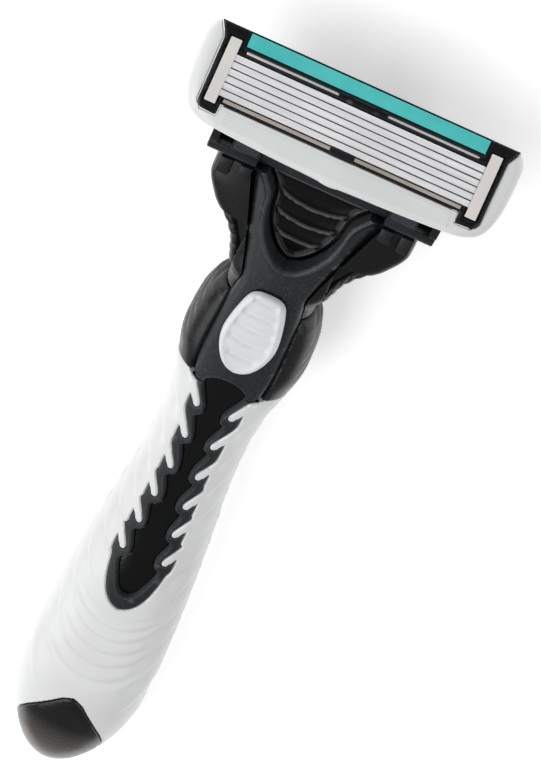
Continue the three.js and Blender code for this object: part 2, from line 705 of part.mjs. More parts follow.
// Black housing: blade well, strip seat, clip slots and the two pivot lugs on its back.
function cartridgeHousing() {
  let body = box(-housing.halfWidth, housing.halfWidth, cartridge.cap + 0.1, housing.guardEdge,
    cartridge.back, housing.top);
  const well = box(-windowZone.halfWidth, windowZone.halfWidth, windowZone.cap, windowZone.guard, -wide, wide);
  const seat = box(-lubeStrip.halfWidth - gap, lubeStrip.halfWidth + gap, lubeStrip.cap - gap / 2,
    lubeStrip.guard + gap / 2, lubeStrip.proud - lubeStrip.depth - gap, wide);
  const barSeat = box(-stopBar.halfWidth - gap, stopBar.halfWidth + gap, stopBar.cap - gap,
    stopBar.guard + gap / 2, stopBar.bottom - gap / 2, wide);
  body = body.subtract(well).subtract(seat).subtract(barSeat);
  for (const side of [1, -1]) {
    const slotA = side * rinseSlot.inner;
    const slotB = side * rinseSlot.outer;
    body = body.subtract(box(Math.min(slotA, slotB), Math.max(slotA, slotB),
      rinseSlot.centre - rinseSlot.width / 2, rinseSlot.centre + rinseSlot.width / 2, -wide, wide));
    body = body.subtract(clipRoom(side));
    body = body.add(lugBody(side));
  }
  return body;
}

function lugBody(side) {
  const root = cartridge.back + 0.3;
  const points = [[-0.8, root], [housing.guardEdge - 0.2, root]];
  const steps = 10;
  for (let i = 0; i <= steps; i += 1) {
    const angle = 0.35 * Math.PI - (Math.PI * 1.2 * i) / steps;
    points.push([pivot.y + pivot.ring * Math.cos(angle), pivot.z + pivot.ring * Math.sin(angle)]);
  }
  const x0 = Math.min(side * lug.inner, side * lug.outer);
  const arm = profile(points, x0, x0 + lug.outer - lug.inner);
  return arm.subtract(rodX(pivot.pin + runningGap, pivot.y, pivot.z, -wide, wide));
}

function clipProfile(extra) {
  const t = clip.thickness + extra;
  const top = clip.thickness + 0.1 + extra;
  const a = clip.cap - extra;
  const b = clip.guard + extra;
  const low = -clip.leg - extra;
  return [
    [a, low], [a + t + extra, low], [a + t + extra, top - t - extra], [b - t - extra, top - t - extra],
    [b - t - extra, low], [b, low], [b, top], [a, top],
  ];
}

function clipRoom(side) {
  const centre = side * (clip.inner + clip.width / 2);
  const half = clip.width / 2 + gap;
  const room = clipProfile(gap);
  const legs = profile(room, centre - half, centre + half);
  const face = box(centre - half, centre + half, clip.cap - gap, clip.guard + gap, housing.top - 0.35, wide);
  return legs.add(face);
}

function clipBody(side) {
  const centre = side * (clip.inner + clip.width / 2);
  return profile(clipProfile(0), centre - clip.width / 2, centre + clip.width / 2);
}

// A bent blade: an upright foot and a lip that leans towards the guard.
function bladeBody(index) {
  const y = bladeStart + index * blade.pitch;
  const t = blade.thickness;
  const points = [
    [y, blade.foot], [y + t, blade.foot], [y + t, blade.bend - t * 0.4],
    [y + blade.lean + t * 0.5, blade.bend + blade.rise - t * 0.3],
    [y + blade.lean, blade.bend + blade.rise], [y, blade.bend + t * 0.3],
  ];
  const half = windowZone.halfWidth - gap;
  return profile(points, -half, half);
}

function lubricatingStrip() {
  const y0 = lubeStrip.cap;
  const y1 = lubeStrip.guard;
  const low = lubeStrip.proud - lubeStrip.depth;
  const bevel = 0.2;
  return profile([
    [y0, low], [y1, low], [y1, lubeStrip.proud - bevel], [y1 - bevel, lubeStrip.proud],
    [y0 + bevel, lubeStrip.proud], [y0, lubeStrip.proud - bevel],
  ], -lubeStrip.halfWidth, lubeStrip.halfWidth);
}

function bladeStopBar() {
  return box(-stopBar.halfWidth, stopBar.halfWidth, stopBar.cap, stopBar.guard, stopBar.bottom, stopBar.top);
}

// ---------------------------------------------------------------- docking yoke

function toWorld(y, z) {
  const tilt = THREE.MathUtils.degToRad(faceTilt);
  return [
    faceCentre[1] + y * Math.cos(tilt) - z * Math.sin(tilt),
    faceCentre[2] + y * Math.sin(tilt) + z * Math.cos(tilt),
  ];
}
const pivotPoint = toWorld(pivot.y, pivot.z);

function yokeProfile() {
  const points = [[yoke.rear, yoke.bottom], [yoke.rear, yoke.top]];
  const steps = 10;
  for (let i = 0; i <= steps; i += 1) {
    const angle = Math.PI * (0.5 + (0.75 * i) / steps);
    points.push([pivotPoint[0] + pivot.ring * Math.cos(angle), pivotPoint[1] + pivot.ring * Math.sin(angle)]);
  }
  points.push([yoke.front, yoke.bottom]);
  return points;
}

function dockingYoke() {
  const side = yokeProfile();
  const bar = [
    [yoke.rear, yoke.bottom - yoke.barDrop], [yoke.rear, yoke.barTop], [yoke.front + 1.6, yoke.barTop],
    [yoke.front + 1.2, yoke.bottom - yoke.barDrop],
  ];
  let body = profile(bar, -cheek.outer, cheek.outer);
  for (const sign of [1, -1]) {
    for (const part of [block, cheek]) {
      const a = Math.min(sign * part.inner, sign * part.outer);
      body = body.add(profile(side, a, a + part.outer - part.inner));
    }
  }
  const nose = box(-yoke.noseHalfWidth, yoke.noseHalfWidth, yoke.front, yoke.rear,
    yoke.bottom - yoke.barDrop, yoke.barTop);
  const socket = box(-tongue.halfWidth - gap, tongue.halfWidth + gap, yoke.front - 5, yoke.rear + 5,
    tongue.bottom - gap, tongue.top + gap);
  body = body.add(nose).subtract(socket);
  for (const sign of [1, -1]) {
    const a = sign * (block.inner + pinSeat);
    const b = sign * (cheek.outer + 1);
    const hole = rodX(pivot.pin + runningGap, ...pivotPoint, Math.min(a, b), Math.max(a, b));
    body = body.subtract(hole);
  }
  return body;
}

function pivotPin(side) {
  const a = side * (block.inner + pinSeat + 0.2);
  const b = side * (cheek.outer - gap);
  return rodX(pivot.pin, ...pivotPoint, Math.min(a, b), Math.max(a, b));
}

// ---------------------------------------------------------------- assembly

const razor = new THREE.Group();
const handleGroup = new THREE.Group();
const headGroup = new THREE.Group();
headGroup.position.set(...faceCentre);
headGroup.rotation.x = THREE.MathUtils.degToRad(faceTilt);
razor.add(handleGroup, headGroup);

function place(group, name, body, material) {
  const mesh = new THREE.Mesh(geometryOf(body), material);
  mesh.name = name;
  group.add(mesh);
}

place(handleGroup, 'handle_core', handleCore(), blackAbs);
place(handleGroup, 'front_shell', frontShell(), whiteAbs);
place(handleGroup, 'rear_shell', rearShell(), whiteAbs);
place(handleGroup, 'rear_grip', rearGrip(), blackRubber);
place(handleGroup, 'grip_inlay', gripInlay(), blackRubber);
place(handleGroup, 'grip_insert', gripInsert(), glossBlack);
place(handleGroup, 'end_cap', endCap(), capRubber);
place(handleGroup, 'neck_cover', neckCover(), charcoalAbs);
place(handleGroup, 'throat_pad', throatPadBody(), blackRubber);
for (const [side, word] of [[1, 'right'], [-1, 'left']]) {
  place(handleGroup, `neck_grip_${word}`, neckGripBody(side), blackRubber);
  place(handleGroup, `shoulder_grip_${word}`, shoulderGrip(side), blackRubber);
  place(handleGroup, `pivot_pin_${word}`, pivotPin(side), springSteel);
  place(headGroup, `clip_${word}`, clipBody(side), clipAluminium);
}
place(handleGroup, 'release_button', releaseButton(), buttonWhite);
place(handleGroup, 'ejector_slide', ejectorSlide(), blackAbs);
place(handleGroup, 'button_spring',
  spring(1.4, slide.bottom + 1.75, springWall + gap, slide.start - gap, 4), springSteel);
place(handleGroup, 'plunger', plungerBody(), blackAbs);
place(handleGroup, 'plunger_spring',
  spring(plunger.radius - 0.2, plunger.height, plunger.rear + gap, springWall - springWebThickness - gap, 6),
  springSteel);
place(handleGroup, 'docking_yoke', dockingYoke(), blackAbs);
place(headGroup, 'cartridge_frame', cartridgeFrame(), whiteAbs);
place(headGroup, 'cartridge_housing', cartridgeHousing(), blackAbs);
place(headGroup, 'guard_fins', guardFinStrip(), guardRubber);
place(headGroup, 'lubricating_strip', lubricatingStrip(), teal);
place(headGroup, 'blade_stop_bar', bladeStopBar(), barAluminium);
for (let i = 0; i < blade.count; i += 1) {
  place(headGroup, `blade_${i + 1}`, bladeBody(i), steel);
}

export default razor;
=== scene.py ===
# %% [markdown]
# # A cartridge razor, modelled piece by piece
#
# The razor's frame comes from CAD: its bodies, its joints and the place of every node are fixed. This
# file gives each piece the surface that a moulded, ground or rolled part really has. Lengths are written
# in millimetres, because that is how a small product is drawn, and become metres when a mesh is made.

# %% Load the frame
import math

import bmesh
import bpy
import numpy as np
from mathutils import Matrix, Vector
from mathutils.geometry import delaunay_2d_cdt


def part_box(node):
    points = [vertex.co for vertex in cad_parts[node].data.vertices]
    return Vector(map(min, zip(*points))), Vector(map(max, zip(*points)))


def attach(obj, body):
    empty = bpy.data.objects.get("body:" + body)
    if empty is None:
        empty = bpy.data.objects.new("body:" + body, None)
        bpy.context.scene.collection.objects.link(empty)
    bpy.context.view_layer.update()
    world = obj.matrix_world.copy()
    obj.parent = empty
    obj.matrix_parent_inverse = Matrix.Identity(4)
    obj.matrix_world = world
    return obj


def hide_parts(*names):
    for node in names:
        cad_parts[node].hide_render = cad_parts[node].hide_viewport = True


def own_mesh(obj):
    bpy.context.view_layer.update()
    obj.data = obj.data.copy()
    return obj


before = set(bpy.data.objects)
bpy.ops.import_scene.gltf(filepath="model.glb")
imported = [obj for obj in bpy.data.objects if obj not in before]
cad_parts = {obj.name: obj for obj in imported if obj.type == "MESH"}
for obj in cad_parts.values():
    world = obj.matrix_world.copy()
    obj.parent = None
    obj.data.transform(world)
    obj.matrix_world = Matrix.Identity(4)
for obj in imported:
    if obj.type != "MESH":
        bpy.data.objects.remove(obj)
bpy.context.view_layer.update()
MM = 0.001

# %% [markdown]
# ## Camera and light
#
# The razor is looked at straight onto its blades from less than half a metre away, so its tail is
# further off and looks smaller. A long lens from that distance keeps the cartridge's edges nearly
# parallel. The camera is placed by its distance and its angles round the middle of the blades, and is
# then aimed a little past them, so that the whole handle is in view.

# %% Camera
FACE_CENTRE = Vector((0, -64.2, 17.5)) * MM     # the middle of the shaving face
FACE_TILT = math.radians(38)                    # the face leans this far towards the head's side
CAMERA_DISTANCE = 0.45
CAMERA_PITCH = math.radians(37.3)               # from straight above, towards the head
CAMERA_YAW = math.radians(2.39)
CAMERA_ROLL = math.radians(24.3)
CAMERA_LENS = 172.7
AIM_OFFSET = (0.0079, -0.0706)                  # how far the axis passes beside the face's middle


def make_camera():
    outward = Vector((math.sin(CAMERA_YAW), -math.sin(CAMERA_PITCH) * math.cos(CAMERA_YAW),
                      math.cos(CAMERA_PITCH) * math.cos(CAMERA_YAW)))
    place = FACE_CENTRE + CAMERA_DISTANCE * outward
    head_up = Vector((0, -math.cos(CAMERA_PITCH), -math.sin(CAMERA_PITCH)))
    across = (-outward).cross(head_up).normalized()
    up = across.cross(-outward)
    forward = (-outward + across * AIM_OFFSET[0] + up * AIM_OFFSET[1]).normalized()
    across = forward.cross(up).normalized()
    up = across.cross(forward)
    cosine, sine = math.cos(CAMERA_ROLL), math.sin(CAMERA_ROLL)
    right = across * cosine + up * sine
    top = up * cosine - across * sine
    camera = bpy.data.objects.new("camera", bpy.data.cameras.new("camera"))
    bpy.context.scene.collection.objects.link(camera)
    camera.matrix_world = Matrix((
        (right.x, top.x, -forward.x, place.x),
        (right.y, top.y, -forward.y, place.y),
        (right.z, top.z, -forward.z, place.z),
        (0, 0, 0, 1),
    ))
    camera.data.lens = CAMERA_LENS
    camera.data.sensor_width = 36
    camera.data.clip_start = 0.01
    return camera


bpy.context.scene.camera = make_camera()
print("camera at", [round(v, 3) for v in bpy.context.scene.camera.location])

# %% [markdown]
# Glossy black plastic shows what is around it, so the light is large and soft: a big panel on the +X
# side, a weaker one across from it, and a low one beyond the head that lights the ground blades. The
# room is dim, which keeps the blacks black and leaves the white shells a faint shaded side.

# %% Lights
def area_light(name, place, target, size, power):
    light = bpy.data.lights.new(name, "AREA")
    light.shape = "RECTANGLE"
    light.size, light.size_y = size
    light.energy = power
    lamp = bpy.data.objects.new(name, light)
    bpy.context.scene.collection.objects.link(lamp)
    lamp.location = place
    lamp.rotation_euler = (Vector(target) - Vector(place)).to_track_quat("-Z", "Y").to_euler()
    return lamp


PANELS = (
    # name, place and aim in metres, width and depth, watts
    ("key panel", (0.45, 0.08, 0.55), (0, 0, 0), (0.95, 0.8), 5.0),
    ("fill panel", (-0.50, -0.02, 0.50), (0, 0, 0), (0.7, 0.8), 1.5),
    ("blade panel", (0.0, -0.75, 0.30), (0, -0.06, 0.01), (0.6, 0.2), 0.5),
)
for panel in PANELS:
    print(area_light(*panel).name, "of", panel[-1], "W")

# %% [markdown]
# The floor is a plain white sheet, a hair below the razor so that no two faces share a plane. It glows a
# little, as a light table does, so the ground stays white while the lamps stay weak.

# %% The room and the floor
FLOOR_HALF = 1.5
FLOOR_GAP = 0.00002
ROOM_STRENGTH = 0.27


def make_floor():
    mesh = bpy.data.meshes.new("floor")
    corners = [(x * FLOOR_HALF, y * FLOOR_HALF, 0) for x, y in ((-1, -1), (1, -1), (1, 1), (-1, 1))]
    mesh.from_pydata(corners, [], [(0, 1, 2, 3)])
    floor = bpy.data.objects.new("floor", mesh)
    bpy.context.scene.collection.objects.link(floor)
    floor.location.z = -FLOOR_GAP
    return floor


floor = make_floor()
room = bpy.data.worlds.new("studio")
bpy.context.scene.world = room
room.use_nodes = True
background = room.node_tree.nodes["Background"].inputs
background["Color"].default_value = (1.0, 1.0, 1.0, 1.0)
background["Strength"].default_value = ROOM_STRENGTH
bpy.context.scene.view_settings.view_transform = "Standard"
print("the floor lies", round(floor.location.z / MM, 3), "mm from the grip pad's ribs")

# %% [markdown]
# ## Two tools that make most pieces
#
# Nearly every piece here is a moulding with a thickness and a shaped upper side. One helper covers them:
# `relief` fills a flat outline with fine triangles and lifts each point to a height, like a bas-relief.
# The flat result can then be placed: leant back for the cartridge, or wrapped round the handle's skin,
# the way a label goes round a bottle. Edges are rounded by lowering the points close to the outline.

# %% Colours
def srgb(code):
    """A colour as #rrggbb becomes the linear values that a shader needs."""
    values = [int(code[i:i + 2], 16) / 255 for i in (1, 3, 5)]
    return tuple(v / 12.92 if v <= 0.04045 else ((v + 0.055) / 1.055) ** 2.4 for v in values) + (1.0,)


print("the middle grey #808080 is", round(srgb("#808080")[0], 3), "in linear light")

# %% Meshes
SHARP = math.radians(35)          # faces that meet at more than this keep a crisp edge


def shaded(mesh):
    mesh.shade_smooth()
    mesh.set_sharp_from_angle(angle=SHARP)


def modified(piece):
    """Gives a piece the mesh that its modifiers make, and takes them off."""
    graph = bpy.context.evaluated_depsgraph_get()
    mesh = bpy.data.meshes.new_from_object(piece.evaluated_get(graph))
    piece.modifiers.clear()
    piece.data = mesh
    return piece


def mesh_object(name, points, faces):
    mesh = bpy.data.meshes.new(name)
    mesh.from_pydata([tuple(p) for p in np.asarray(points) * MM], [], [tuple(f) for f in faces])
    mesh.validate()
    work = bmesh.new()
    work.from_mesh(mesh)
    bmesh.ops.recalc_face_normals(work, faces=work.faces)
    work.to_mesh(mesh)
    work.free()
    shaded(mesh)
    piece = bpy.data.objects.new(name, mesh)
    bpy.context.scene.collection.objects.link(piece)
    return piece


print("edges over", round(math.degrees(SHARP)), "degrees stay crisp")


# %% Outlines
def distance_to(points, loop):
    """How far each point lies from the nearest side of a closed outline."""
    best = np.full(len(points), np.inf)
    ends = np.roll(loop, -1, axis=0)
    for a, b in zip(loop, ends):
        side = b - a
        share = np.clip(((points - a) @ side) / max(side @ side, 1e-12), 0, 1)
        gap = points - (a + share[:, None] * side)
        best = np.minimum(best, np.einsum("ij,ij->i", gap, gap))
    return np.sqrt(best)


def gap_to(x, y, *loops):
    """How far points lie from the nearest side of one or more closed outlines."""
    points = np.column_stack([x, y])
    return np.min([distance_to(points, loop) for loop in loops], axis=0)


def inside(points, loop):
    """True where a point lies inside a closed outline."""
    x, y = points[:, 0], points[:, 1]
    result = np.zeros(len(points), bool)
    ends = np.roll(loop, -1, axis=0)
    for (ax, ay), (bx, by) in zip(loop, ends):
        crosses = (ay > y) != (by > y)
        if ay != by:
            result ^= crosses & (x < (bx - ax) * (y - ay) / (by - ay) + ax)
    return result


unit_box = np.array([(0, 0), (1, 0), (1, 1), (0, 1)], float)
print("the middle of a 1 mm box is", distance_to(np.array([(0.5, 0.5)]), unit_box)[0], "mm from its side")


# %% Shaping outlines
def rounding(distance, radius):
    """How far a rounded edge drops below the face at a distance from the edge."""
    near = np.clip(1 - distance / radius, 0, 1)
    return radius * (1 - np.sqrt(1 - near ** 2))


def resample(loop, step):
    """The same outline with points no further apart than a step."""
    points = []
    ends = np.roll(loop, -1, axis=0)
    for a, b in zip(loop, ends):
        count = max(1, int(math.ceil(np.linalg.norm(b - a) / step)))
        points.extend(a + (b - a) * k / count for k in range(count))
    return np.array(points)


def both_sides(half):
    """A right-hand half outline and its mirror image, as one closed outline."""
    half = [tuple(p) for p in half]
    left = [(-x, y) for x, y in reversed(half) if abs(x) > 1e-6]
    return np.array(half + left, float)


def shifted(loop, amount):
    """A closed outline moved outwards by an amount, or inwards when it is negative."""
    loop = np.asarray(loop, float)
    x, y = loop[:, 0], loop[:, 1]
    if np.sum(x * np.roll(y, -1) - np.roll(x, -1) * y) < 0:
        loop = loop[::-1]
    before = loop - np.roll(loop, 1, axis=0)
    after = np.roll(loop, -1, axis=0) - loop
    before /= np.maximum(np.linalg.norm(before, axis=1), 1e-9)[:, None]
    after /= np.maximum(np.linalg.norm(after, axis=1), 1e-9)[:, None]
    normal = np.stack([before[:, 1] + after[:, 1], -before[:, 0] - after[:, 0]], 1)
    normal /= np.maximum(np.linalg.norm(normal, axis=1), 1e-9)[:, None]
    stretch = np.maximum(0.6, normal[:, 0] * before[:, 1] - normal[:, 1] * before[:, 0])
    return loop + normal * (amount / stretch)[:, None]


def box_loop(x0, x1, y0, y1):
    return np.array([(x0, y0), (x1, y0), (x1, y1), (x0, y1)], float)


print("a 1 mm rounding drops", round(float(rounding(0.5, 1.0)), 3), "mm at half its width")


# %% The relief helper
def closed_solid(faces, upper, lower):
    """Joins an upper and a lower layer of the same faces by a wall along their border."""
    sides = dict.fromkeys(side for face in faces for side in zip(face, face[1:] + face[:1]))
    count = len(upper)
    solid = [tuple(f) for f in faces] + [tuple(count + v for v in reversed(f)) for f in faces]
    solid += [(b, a, count + a, count + b) for a, b in sides if (b, a) not in sides]
    used = sorted({v for f in solid for v in f})
    renumber = {old: new for new, old in enumerate(used)}
    return np.concatenate([upper, lower])[used], [tuple(renumber[v] for v in f) for f in solid]


def relief(name, outer, height, floor, holes=(), fine=0.16, coarse=0.6, rim=0.6, place=None):
    """A closed piece: straight sides on an outline and an upper side lifted by a height function.

    The points are close together near the edges, within the rim, where the rounding needs them.
    """
    loops = [resample(np.asarray(loop, float), fine * 1.4) for loop in (outer, *holes)]
    low, high = loops[0].min(0), loops[0].max(0)

    def lattice(step):
        xs = np.arange(low[0] + step / 2, high[0], step)
        ys = np.arange(low[1] + step / 2, high[1], step)
        grid = np.stack(np.meshgrid(xs, ys), -1)
        grid[1::2, :, 0] += step / 2
        return grid.reshape(-1, 2)

    def kept(points):
        within = inside(points, loops[0])
        for loop in loops[1:]:
            within &= ~inside(points, loop)
        points = points[within]
        gap = np.min([distance_to(points, loop) for loop in loops], axis=0)
        return points, gap

    near, near_gap = kept(lattice(fine))
    near = near[(near_gap > fine * 0.45) & (near_gap < rim)]
    far, far_gap = kept(lattice(coarse))
    far = far[far_gap >= rim]
    inner = np.concatenate([near, far])
    flat = np.concatenate(loops + [inner])
    sides = []
    start = 0
    for loop in loops:
        count = len(loop)
        sides.extend((start + k, start + (k + 1) % count) for k in range(count))
        start += count
    result = delaunay_2d_cdt([Vector(p) for p in flat], sides, [], 0, 1e-6)
    points = np.array([tuple(p) for p in result[0]])
    faces = result[2]
    centres = np.array([points[list(f)].mean(0) for f in faces])
    keep = inside(centres, loops[0])
    for loop in loops[1:]:
        keep &= ~inside(centres, loop)
    faces = [f for f, k in zip(faces, keep) if k]
    upper = np.column_stack([points, height(points[:, 0], points[:, 1])])
    base = floor(points[:, 0], points[:, 1]) if callable(floor) else np.full(len(points), float(floor))
    every, solid = closed_solid(faces, upper, np.column_stack([points, base]))
    return mesh_object(name, place(every) if place else every, solid)


# %% From the cartridge's frame to the razor's
def in_cartridge(points):
    """From the cartridge's own frame (+Y from cap to guard, +Z out of the face) to the razor's."""
    points = np.asarray(points, float)
    cosine, sine = math.cos(FACE_TILT), math.sin(FACE_TILT)
    centre = np.array(FACE_CENTRE) / MM
    y = points[:, 1] * cosine - points[:, 2] * sine
    z = points[:, 1] * sine + points[:, 2] * cosine
    return np.stack([points[:, 0] + centre[0], y + centre[1], z + centre[2]], 1)


print("1 mm out of the shaving face is", in_cartridge([(0, 0, 1)])[0].round(2), "mm")

# %% [markdown]
# ## The handle's skin
#
# The handle is drawn by stations along its length: how wide it is, how high and low it reaches, and how
# square its section is. A cubic through the stations that never overshoots gives the widths in between,
# and each section is a superellipse, a rounded shape between an ellipse and a rectangle.

# %% Stations and the skin
HEAD_END = -49.9
SHELL_START = -14.2
TAIL_TIP = 70.0
STATIONS = np.array([
    # y, half width, top, bottom, squareness
    [HEAD_END, 13.8, 13.4, 6.6, 5],
    [-46.3, 13.8, 13.4, 6.5, 5],
    [-42.6, 12.2, 13.4, 6.2, 5],
    [-39.3, 9.5, 13.5, 5.6, 4],
    [-36.5, 8.0, 13.6, 4.9, 3.4],
    [-33.6, 7.2, 13.8, 4.2, 3],
    [-31.6, 6.0, 13.9, 3.6, 2.8],
    [-30.2, 6.1, 14.0, 3.2, 2.7],
    [-27.5, 7.7, 14.0, 2.4, 2.6],
    [-23.5, 8.6, 14.1, 1.6, 2.5],
    [-19, 8.8, 14.2, 1.1, 2.5],
    [SHELL_START, 8.0, 14.2, 0.8, 2.4],
    [-9, 7.0, 14.0, 0.6, 2.4],
    [-2, 6.5, 13.6, 0.5, 2.4],
    [6, 6.7, 13.4, 0.5, 2.3],
    [16, 7.6, 13.6, 0.5, 2.3],
    [28, 8.6, 14.4, 0.5, 2.3],
    [40, 9.3, 15.0, 0.5, 2.3],
    [49, 9.6, 15.2, 0.5, 2.3],
    [56, 8.9, 14.8, 0.8, 2.2],
    [61, 7.6, 13.9, 1.5, 2.2],
    [65, 5.9, 12.7, 2.7, 2.1],
    [68, 4.0, 11.1, 4.3, 2],
    [69.6, 1.8, 9.4, 6.2, 2],
    [TAIL_TIP, 0.2, 8.0, 7.6, 2],
])


def along(column, y):
    """A station value at any y: a cubic through the stations that never overshoots them."""
    knots, values = STATIONS[:, 0], STATIONS[:, column]
    step = np.diff(knots)
    slope = np.diff(values) / step
    tangent = np.zeros_like(values)
    same = slope[:-1] * slope[1:] > 0
    weight_a, weight_b = 2 * step[1:] + step[:-1], step[1:] + 2 * step[:-1]
    safe = np.where(same, slope[:-1], 1), np.where(same, slope[1:], 1)
    mean = (weight_a + weight_b) / (weight_a / safe[0] + weight_b / safe[1])
    tangent[1:-1] = np.where(same, mean, 0)
    tangent[0], tangent[-1] = slope[0], slope[-1]
    y = np.clip(y, knots[0], knots[-1])
    i = np.clip(np.searchsorted(knots, y, side="right") - 1, 0, len(step) - 1)
    t = (y - knots[i]) / step[i]
    rise = values[i] * (1 + 2 * t) * (1 - t) ** 2 + values[i + 1] * t * t * (3 - 2 * t)
    lean = tangent[i] * t * (1 - t) ** 2 + tangent[i + 1] * t * t * (t - 1)
    return rise + lean * step[i]


def skin(angle, y, inset=0.0):
    """Points of the skin at an angle round the section (0 at +X, a quarter turn at the top)."""
    half, top, bottom, square = (along(c, y) for c in (1, 2, 3, 4))
    a = np.maximum(half - inset, 0.05)
    b = np.maximum((top - bottom) / 2 - inset, 0.05)
    cosine, sine = np.cos(angle), np.sin(angle)
    x = a * np.sign(cosine) * np.abs(cosine) ** (2 / square)
    z = (top + bottom) / 2 + b * np.sign(sine) * np.abs(sine) ** (2 / square)
    return np.stack([x, np.broadcast_to(y, x.shape), z], -1)


print("the skin's widest half:", round(float(along(1, np.linspace(0, 69, 200)).max()), 2), "mm")


# %% The patch helper
def patch(name, angles, ys, lift, inset):
    """A sleeve round the skin. angles and ys are grids, lift is added along the outward normal."""
    base = skin(angles, ys)
    across = np.roll(base, -1, axis=1) - np.roll(base, 1, axis=1)
    length = np.gradient(base, axis=0)
    normal = np.cross(across, length)
    normal /= np.maximum(np.linalg.norm(normal, axis=-1), 1e-9)[..., None]
    middle = skin(angles, ys, 1.0) - base
    flip = np.sign(-np.sum(normal * middle, -1, keepdims=True))
    flip[flip == 0] = 1
    outer = base + normal * flip * lift(base)[..., None]
    inner = skin(angles, ys, inset)
    rows, columns = angles.shape
    points = np.concatenate([outer.reshape(-1, 3), inner.reshape(-1, 3)])
    half = rows * columns
    faces = []
    for i in range(rows - 1):
        for j in range(columns):
            k = (j + 1) % columns
            a, b, c, d = i * columns + j, i * columns + k, (i + 1) * columns + k, (i + 1) * columns + j
            faces.append((a, b, c, d))
            faces.append((half + d, half + c, half + b, half + a))
    for row in (0, rows - 1):
        for j in range(columns):
            a, b = row * columns + j, row * columns + (j + 1) % columns
            faces.append((a, b, half + b, half + a))
    print(name, "is", rows, "rings of", columns, "points")
    return mesh_object(name, points, faces)


# %% Blocks, cuts and joins
def cut(piece, tool):
    """Cuts one closed mesh out of another and throws the tool away."""
    modifier = piece.modifiers.new("cut", "BOOLEAN")
    modifier.operation = "DIFFERENCE"
    modifier.solver = "EXACT"
    modifier.object = tool
    modified(piece)
    bpy.data.objects.remove(tool)
    return piece


def block_faces(count):
    """The faces of a block whose points are one end's outline followed by the other end's."""
    faces = [tuple(range(count)), tuple(range(2 * count - 1, count - 1, -1))]
    return faces + [(k, (k + 1) % count, count + (k + 1) % count, count + k) for k in range(count)]


def prism(name, outline, low, high):
    """A straight-sided closed block on an outline in the plan, used for cutting."""
    points = [(x, y, low) for x, y in outline] + [(x, y, high) for x, y in outline]
    return mesh_object(name, points, block_faces(len(outline)))


def rounded_edges(piece, width, segments):
    modifier = piece.modifiers.new("rounding", "BEVEL")
    modifier.width = width * MM
    modifier.segments = segments
    modifier.limit_method = "ANGLE"
    modifier.angle_limit = SHARP
    return modifier


def side_box(y0, y1, z0, z1):
    """A rectangle in the YZ plane, the section of a straight bar."""
    return [(y0, z0), (y0, z1), (y1, z1), (y1, z0)]


def slab(name, outline, x0, x1, bevel, place=None):
    """An outline in the YZ plane stretched along X, with every edge rounded."""
    points = [(x0, y, z) for y, z in outline] + [(x1, y, z) for y, z in outline]
    piece = mesh_object(name, place(points) if place else points, block_faces(len(outline)))
    rounded_edges(piece, bevel, 3)
    modified(piece)
    shaded(piece.data)
    return piece


def joined(name, pieces):
    """Several closed parts of one moulding as one mesh."""
    work = bmesh.new()
    for piece in pieces:
        work.from_mesh(piece.data)
    mesh = bpy.data.meshes.new(name)
    work.to_mesh(mesh)
    work.free()
    for piece in pieces:
        bpy.data.objects.remove(piece)
    shaded(mesh)
    result = bpy.data.objects.new(name, mesh)
    bpy.context.scene.collection.objects.link(result)
    return result


print("a block on a square has", len(block_faces(4)), "faces")


# %% [markdown]
# ## Wrapping a flat drawing round the handle
#
# A place on the handle is given by two numbers: how far it is from the top centre line, measured round
# the skin with a tape, and where it is along the handle. A table made once turns the first number into
# an angle of the section. A third number lifts the point out of the skin, or sinks it for a thickness.

# %% The tape measure
ROWS = np.linspace(HEAD_END, TAIL_TIP - 0.05, 800)
TURNS = np.linspace(math.pi / 2, -math.pi / 2, 361)
RINGS = skin(TURNS[None, :], ROWS[:, None])
ARCS = np.concatenate([
    np.zeros((len(ROWS), 1)),
    np.cumsum(np.linalg.norm(np.diff(RINGS, axis=1), axis=2), axis=1),
], axis=1)
HALF_GIRTH = ARCS[:, -1]
SHARES = np.linspace(0, 1, 241)
TURN_TABLE = np.array([np.interp(SHARES, arc / arc[-1], TURNS) for arc in ARCS])


def half_girth(y):
    return np.interp(y, ROWS, HALF_GIRTH)


def turn_at(distance, y, from_back=False):
    """The section's angle at a distance round the skin from the top (or back) centre line."""
    share = np.clip(np.abs(distance) / half_girth(y), 0, 1)
    if from_back:
        share = 1 - share
    row = np.clip((y - ROWS[0]) / (ROWS[1] - ROWS[0]), 0, len(ROWS) - 1.001)
    column = np.clip(share * (len(SHARES) - 1), 0, len(SHARES) - 1.001)
    i, j = row.astype(int), column.astype(int)
    u, v = row - i, column - j
    upper = TURN_TABLE[i, j] * (1 - v) + TURN_TABLE[i, j + 1] * v
    lower = TURN_TABLE[i + 1, j] * (1 - v) + TURN_TABLE[i + 1, j + 1] * v
    return upper * (1 - u) + lower * u


print("the neck's waist measures", round(2 * float(half_girth(-31.6)), 1), "mm round")


# %% Wrapping
def fullness(x, y, z):
    """Below one inside the skin, above one outside: its slope points straight out of the skin."""
    half, top, bottom, square = (along(c, y) for c in (1, 2, 3, 4))
    middle, tall = (top + bottom) / 2, (top - bottom) / 2
    return np.abs(x / half) ** square + np.abs((z - middle) / tall) ** square


def outward(base):
    x, y, z = base[..., 0], base[..., 1], base[..., 2]
    step = 0.01
    slope = np.stack([
        fullness(x + step, y, z) - fullness(x - step, y, z),
        fullness(x, y + step, z) - fullness(x, y - step, z),
        fullness(x, y, z + step) - fullness(x, y, z - step),
    ], -1)
    return slope / np.maximum(np.linalg.norm(slope, axis=-1, keepdims=True), 1e-12)


